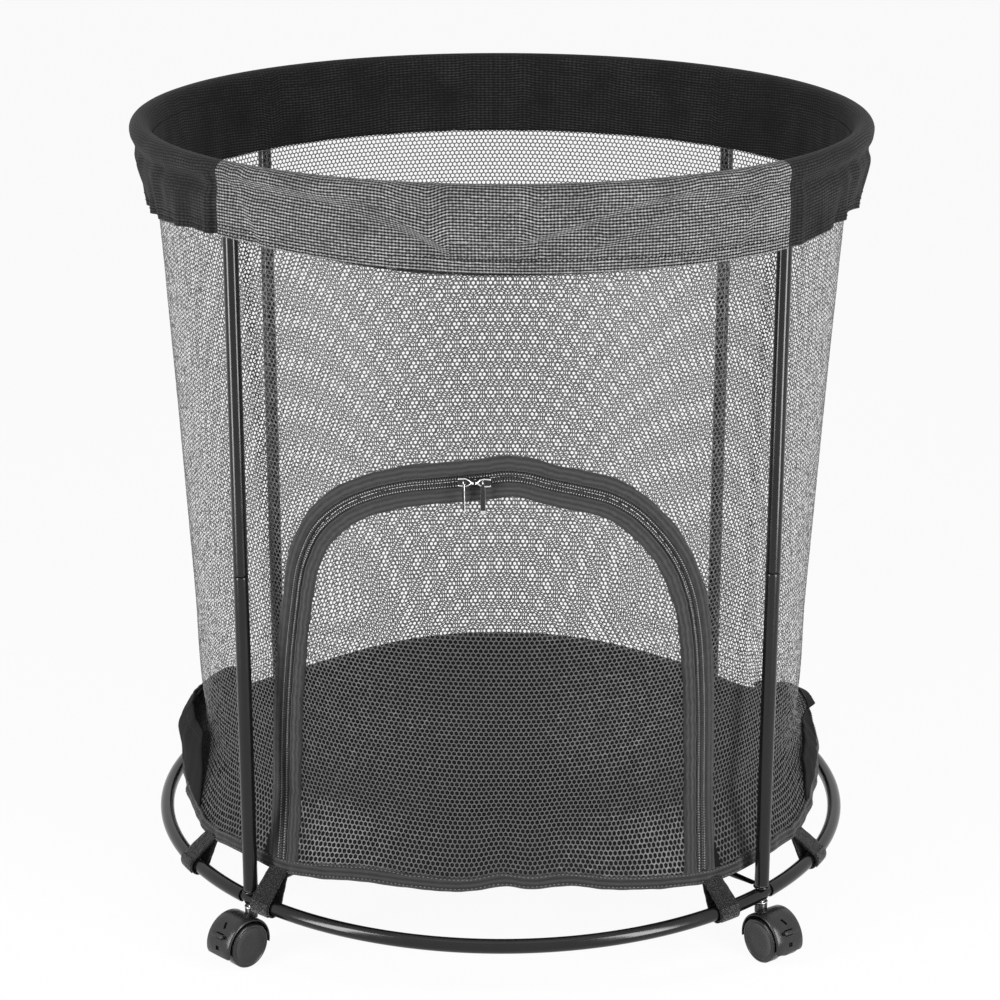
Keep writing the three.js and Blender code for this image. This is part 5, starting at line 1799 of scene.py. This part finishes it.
@dataclass(frozen=True)
class Slider:
    """One of the zip's two sliders with its pull, which hangs down the door."""

    name: str
    azimuth: float
    nose: float
    pull_twist: float
    pull_shift: float = 0.0
    face_r: float = 0.2826
    height: float = 0.4366
    length: float = 0.012
    half_tall: float = 0.0026
    pull_length: float = 0.027
    pull_half: float = 0.002

    def place(self) -> Matrix:
        """Returns the slider's frame: X along the zip to the right, Y up and Z out of the bag."""
        x, y, _ = polar(self.face_r, self.azimuth, 0.0)
        turn = math.radians(self.azimuth)
        right = Vector((math.cos(turn), math.sin(turn), 0.0))
        out = Vector((math.sin(turn), -math.cos(turn), 0.0))
        up = Vector((0.0, 0.0, 1.0))
        base = Matrix((right, up, out)).transposed().to_4x4()
        return Matrix.Translation((x, y, self.height)) @ base

    def build(self) -> None:
        """Builds the slider and its pull."""
        body = self.body()
        body.data.transform(self.place())
        fit(body, f"slider_{self.name}", "slider_metal", f"zip_slider_{self.name}")
        pull = self.pull()
        pull.data.transform(self.place() @ Matrix.Translation((self.pull_shift, 0.0, 0.0)))
        fit(pull, f"pull_{self.name}", "slider_metal", f"zip_pull_{self.name}")

    def body(self) -> Piece:
        """Makes the slider's front plate, its bent rails and the lug that holds the pull."""
        half, nose = self.length / 2.0, self.nose
        outline = [
            (-half, -self.half_tall), (half * 0.3, -self.half_tall), (half, -self.half_tall * 0.35),
            (half, self.half_tall * 0.35), (half * 0.3, self.half_tall), (-half, self.half_tall),
        ]
        if nose < 0.0:
            outline = [(-x, y) for x, y in outline][::-1]
        plate = dress(self.plate("plate", outline, 0.0001, 0.001), Finish.SLIDER_FACE)
        back = dress(self.plate("back", outline, -0.0034, -0.0026), Finish.SLIDER_FACE)
        rails = []
        for sign in (-1.0, 1.0):
            dip = 0.1 if sign < 0.0 else -0.5
            line = [
                (-half * nose, sign * self.half_tall, 0.0013),
                (half * 0.1 * nose, sign * self.half_tall, 0.0014),
                (half * 0.94 * nose, dip * self.half_tall, 0.0012),
            ]
            path = flowing_line(line, 0.0005)
            rails.append(dress(swept("rail", path, disc(0.00062, 10), (0.0, 0.0, 1.0)), Finish.SLIDER))
        arch = [(0.0017, 0.0008), (0.0014, 0.0024), (0.0, 0.0029), (-0.0014, 0.0024), (-0.0017, 0.0008)]
        path = flowing_line([(0.0, y, z) for y, z in arch], 0.0004)
        lug = swept("lug", path, disc(0.0005, 10) * np.array([1.6, 1.0]), (1.0, 0.0, 0.0))
        return merged(f"slider_{self.name}", [plate, back, *rails, dress(lug, Finish.SLIDER_FACE)])

    def plate(
        self, name: str, outline: Sequence[Pair], low: float, high: float
    ) -> Piece:
        """Makes a flat plate with rounded edges."""
        points = np.array([(x, y, z) for z in (low, high) for x, y in outline])
        piece = mesh_piece(name, points, closed_faces(2, len(outline)), smooth=False)
        return soften(piece, 0.0002)

    def pull(self) -> Piece:
        """Makes the pull: a flat bar with an eye at the top and a rounded end."""
        share = np.linspace(0.0, 1.0, 40)
        length, half = self.pull_length, self.pull_half
        wide = half * (0.55 + 0.45 * np.clip((share - 0.06) / 0.2, 0.0, 1.0) ** 0.7)
        tip = np.clip((share - 0.93) / 0.07, 0.0, 1.0)
        wide = np.maximum(wide * np.sqrt(1.0 - tip**2), 0.0003)
        wide[0] = half * 0.4
        drop = 0.0012 - share * length
        lean = 0.0024 - 0.0016 * share
        twist = math.radians(self.pull_twist) * np.clip(share / 0.12, 0.0, 1.0)
        corner = np.radians(np.arange(0, 360, 30))
        section = np.stack([np.cos(corner), np.sin(corner)], axis=-1)
        section = np.sign(section) * np.abs(section) ** 0.6
        rows = []
        for y, z, w, t in zip(drop, lean, wide, twist):
            across = np.array([math.cos(t), 0.0, math.sin(t)])
            through = np.array([-math.sin(t), 0.0, math.cos(t)])
            middle = np.array([0.0, y, z])
            rows.append(middle + section[:, :1] * w * across + section[:, 1:] * 0.0006 * through)
        sides = len(section)
        bar = mesh_piece("bar", np.array(rows), [f[:, ::-1] for f in closed_faces(len(rows), sides)])
        # The bar's flat faces take the dark face as a painted dark reflection in the chrome; its edges and
        # its tip are bright metal.
        dress(bar, Finish.SLIDER_FACE, Finish.SLIDER)
        edge = np.abs(np.cos(np.radians(30.0 * (np.arange(sides) + 0.5)))) > 0.8
        bare = (edge[None] | (share[:-1, None] > 0.86)).ravel()
        bare = np.concatenate([bare, np.ones(len(bar.data.polygons) - len(bare), bool)])
        bar.data.polygons.foreach_set("material_index", bare.astype(np.int32))
        ring = np.linspace(0.0, 2.0 * math.pi, 24, endpoint=False)
        tall, deep = 0.0011 * np.cos(ring) + 0.0006, 0.0017 * np.sin(ring) + 0.003
        eye_path = np.stack([0.0 * ring, tall, deep], axis=-1)
        eye = dress(swept("eye", eye_path, disc(0.00045, 8), (1.0, 0.0, 0.0), closed=True), Finish.SLIDER)
        return merged(f"pull_{self.name}", [bar, eye])


# The straps


@dataclass(frozen=True)
class Strap:
    """A hook-and-loop strap from the hem round the base ring and back on itself."""

    name: str
    azimuth: float
    width: float = 0.02
    thick: float = 0.0017
    clear: float = 0.0008
    apex_in: float = 0.0012
    apex_up: float = 0.0034
    flap: Pair = (0.22, 0.465)
    end_off: float = 0.0014
    end_share: float = 0.94
    end_thick: float = 0.001

    def outline(self) -> Array:
        """Returns the strap's middle line in the plane of its azimuth, as radius and height."""
        reach = TUBE_R + self.clear + self.thick / 2.0
        edge_r, edge_z = BAG.lower_edge(self.azimuth)
        apex = np.array([float(edge_r) - self.apex_in, float(edge_z) + self.apex_up])
        centre = np.array([RING_R, RING_Z])
        away = apex - centre
        far = float(np.hypot(*away))
        angle = math.atan2(away[1], away[0])
        spread = math.acos(reach / far)
        start, end = angle - spread, angle + spread - 2.0 * math.pi
        arc = np.linspace(start, end, 41)
        loop = centre + reach * np.stack([np.cos(arc), np.sin(arc)], axis=-1)
        out_leg = np.linspace(0.0, 1.0, 12)[:, None]
        first = apex + (loop[0] - apex) * out_leg
        last = loop[-1] + (apex + np.array([-0.0012, 0.0004]) - loop[-1]) * out_leg
        first[:, 0] += 0.0006 * np.sin(np.pi * out_leg[:, 0])
        return np.concatenate([first[:-1], loop, last[1:]])

    def build(self) -> None:
        """Builds the strap and its end, which is pressed on the outside of the loop."""
        line = self.outline()
        piece, length = self.tape(f"strap_loop_{self.name}", line, self.width, self.thick, Finish.PILE)
        fit(piece, "frame", "strap", f"strap_{self.name}")
        start, end = (int(share * len(line)) for share in self.flap)
        outward = unit(line - np.array([RING_R, RING_Z]))
        end_line = (line + outward * self.end_off)[start:end]
        width = self.width * self.end_share
        piece, length = self.tape(f"strap_end_{self.name}", end_line, width, self.end_thick, Finish.HOOKS)
        fit(piece, "frame", "strap")

    def tape(
        self, name: str, line: Array, width: float, thick: float, finish: Finish
    ) -> tuple[Piece, float]:
        """Makes a length of tape.

        Args:
            name: The piece's name.
            line: Its middle line, as radius and height.
            width: Its width.
            thick: Its thickness.
            finish: Its finish.

        Returns:
            The tape and its length.
        """
        across = np.linspace(-0.5, 0.5, 9) * width
        azimuth = self.azimuth + np.degrees(across / RING_R)
        row = np.arange(len(line))[:, None]
        fray = 0.00018 * ripple((row * 1.7, 1.0, 0.0), (row * 2.9, 0.6, 1.0))
        fray = fray * (np.abs(across)[None] > 0.45 * width)
        radius = np.broadcast_to(line[:, :1], (len(line), len(across)))
        height = np.broadcast_to(line[:, 1:], radius.shape)
        points = polar(radius, azimuth[None] + np.degrees(fray / RING_R), height)
        along = np.broadcast_to(distances(line)[:, None], radius.shape)
        flat = np.stack([along, np.broadcast_to(across, radius.shape)], axis=-1)
        piece = mesh_piece(name, points, [grid_faces(*points.shape[:2])], flat)
        thicken(piece, thick, 0.0)
        soften(piece, 0.0004, 2)
        return dress(piece, finish), float(distances(line)[-1])


# The studio


@dataclass(frozen=True)
class Studio:
    """The camera, the lamps, the pale floor and the light all round."""

    eye: tuple[float, float, float] = (-0.0529, -2.2, 1.0663)
    yaw: float = 1.35
    pitch: float = 18.55
    roll: float = 0.08
    lens: float = 95.638
    clear_light: float = 0.15
    floor_half: float = 9.0
    floor_glow: float = 0.94
    key_size: Pair = (0.32, 1.44)
    key_power: float = 22.0

    def build(self) -> None:
        """Builds everything that isn't the cart."""
        self.camera()
        self.world()
        self.floor()
        for name, where in (("key_left", (-1.02, -0.82, 0.76)), ("key_right", (0.84, -0.96, 0.76))):
            self.softbox(name, where, self.key_size, self.key_power, where[2])
        self.softbox("top_light", (0.0, -0.2, 2.6), (1.6, 1.6), 6.0)

    def camera(self) -> None:
        """Sets the camera at the photograph's viewing angle."""
        data = bpy.data.cameras.new("camera")
        data.sensor_width = 36.0
        data.lens = self.lens
        data.clip_end = 60.0
        camera = bpy.data.objects.new("camera", data)
        bpy.context.scene.collection.objects.link(camera)
        camera.location = self.eye
        turn = Matrix.Rotation(math.radians(-self.yaw), 4, "Z")
        turn = turn @ Matrix.Rotation(math.radians(90.0 - self.pitch), 4, "X")
        camera.rotation_euler = (turn @ Matrix.Rotation(math.radians(self.roll), 4, "Z")).to_euler()
        bpy.context.scene.camera = camera

    def softbox(
        self,
        name: str,
        where: tuple[float, float, float],
        size: Pair,
        power: float,
        aim: float = 0.35,
    ) -> None:
        """Sets up a soft lamp that faces the cart.

        Args:
            name: The lamp's name.
            where: Its middle.
            size: Its width and height.
            power: Its power in watts.
            aim: The height on the cart's axis that it faces.
        """
        data = bpy.data.lights.new(name, "AREA")
        data.shape = "RECTANGLE"
        data.size, data.size_y = size
        data.energy = power
        lamp = bpy.data.objects.new(name, data)
        bpy.context.scene.collection.objects.link(lamp)
        lamp.location = where
        lamp.visible_camera = False
        target = Vector((0.0, 0.0, aim))
        lamp.rotation_euler = (target - Vector(where)).to_track_quat("-Z", "Y").to_euler()

    def world(self) -> None:
        """Lights the cart softly from all round, with a white background."""
        world = bpy.data.worlds.new("studio")
        world.use_nodes = True
        bpy.context.scene.world = world
        tree = world.node_tree
        back = next(n for n in tree.nodes if n.type == "BACKGROUND")
        rays = tree.nodes.new("ShaderNodeLightPath")
        seen = tree.nodes.new("ShaderNodeMath")
        seen.operation = "MAXIMUM"
        tree.links.new(rays.outputs["Is Camera Ray"], seen.inputs[0])
        tree.links.new(rays.outputs["Is Transmission Ray"], seen.inputs[1])
        both = tree.nodes.new("ShaderNodeMath")
        both.operation = "MAXIMUM"
        tree.links.new(seen.outputs[0], both.inputs[0])
        tree.links.new(rays.outputs["Is Glossy Ray"], both.inputs[1])
        strength = tree.nodes.new("ShaderNodeMapRange")
        tree.links.new(both.outputs[0], strength.inputs[0])
        strength.inputs[3].default_value = self.clear_light
        strength.inputs[4].default_value = 1.0
        tree.links.new(strength.outputs[0], back.inputs["Strength"])
        back.inputs["Color"].default_value = (1.0, 1.0, 1.0, 1.0)

    def floor(self) -> None:
        """Lays the pale floor, which shows white but keeps the cart's shadow."""
        half = self.floor_half
        corners = np.array([[-half, -half, 0.0], [half, -half, 0.0], [half, half, 0.0], [-half, half, 0.0]])
        ground = mesh_piece("studio_floor", corners, [np.array([[0, 1, 2, 3]])])
        paint = Paint("studio_floor", shade(238.0), 0.9, Specular_IOR_Level=0.1)
        tree = paint.tree
        out = next(n for n in tree.nodes if n.type == "OUTPUT_MATERIAL")
        rays = paint.node("ShaderNodeLightPath")
        seen = paint.math("MAXIMUM", rays.outputs["Is Camera Ray"], rays.outputs["Is Transmission Ray"])
        seen = paint.math("MAXIMUM", seen, rays.outputs["Is Glossy Ray"])
        glow = paint.node("ShaderNodeEmission", {"Strength": 1.0, "Color": (1.0, 1.0, 1.0, 1.0)})
        share = paint.math("MULTIPLY", seen, self.floor_glow)
        mixed = paint.node("ShaderNodeMixShader", {0: share, 1: paint.shader.outputs[0], 2: glow.outputs[0]})
        tree.links.new(mixed.outputs[0], out.inputs["Surface"])
        ground.data.materials.append(paint.material)


STRAPS = {
    "front_left": BAG_TURN - 39.0, "front_right": BAG_TURN + 39.0, "left_front": -61.7, "right_front": 61.7,
    "left_rear": 241.7, "right_rear": 118.3, "rear_left": BAG_TURN + 219.0, "rear_right": BAG_TURN + 141.0,
}


@dataclass
class Cart:
    """The whole cart, as its sub-assemblies in the order that they are put together."""

    frame_tubes: TubeFrame = field(default_factory=TubeFrame)
    casters: list[Caster] = field(default_factory=lambda: [
        Caster("front_left", -45.0, 0.0, True),
        Caster("front_right", 45.0, -10.0, True),
        Caster("rear_right", 135.0),
        Caster("rear_left", 225.0),
    ])
    band: Band = field(default_factory=Band)
    hem: Hem = field(default_factory=Hem)
    guards: list[SideGuard] = field(default_factory=lambda: [
        SideGuard("left", -1.0, (
            (0.085, 0.2845), (0.1, 0.2848), (0.112, 0.2852), (0.12, 0.2868), (0.127, 0.2872),
            (0.134, 0.285), (0.142, 0.28), (0.148, 0.2745),
        )),
        SideGuard("right", 1.0, (
            (0.085, 0.282), (0.098, 0.2829), (0.104, 0.2828), (0.109, 0.2802),
            (0.114, 0.2765), (0.12, 0.2712),
        )),
    ])
    floor: BagFloor = field(default_factory=BagFloor)
    net: Net = field(default_factory=Net)
    zip: Zip = field(default_factory=Zip)
    sliders: list[Slider] = field(default_factory=lambda: [
        Slider("left", BAG_TURN - 2.9 - 1.32, 1.0, 62.0, -0.0016),
        Slider("right", BAG_TURN - 2.9 + 1.32, -1.0, 0.0),
    ])

    def build(self) -> None:
        """Builds every sub-assembly."""
        self.frame_tubes.build()
        for caster in self.casters:
            caster.build()
        self.band.build()
        self.hem.build()
        for guard in self.guards:
            guard.build()
        self.floor.build()
        self.net.build()
        self.zip.build()
        for slider in self.sliders:
            slider.build()
        for name, azimuth in STRAPS.items():
            Strap(name, azimuth).build()


def main() -> None:
    """Builds the studio and the cart."""
    logging.basicConfig(level=logging.INFO, format="%(name)s: %(message)s")
    bpy.context.scene.view_settings.view_transform = "Standard"
    Studio().build()
    Cart().build()


if __name__ == "__main__":
    main()
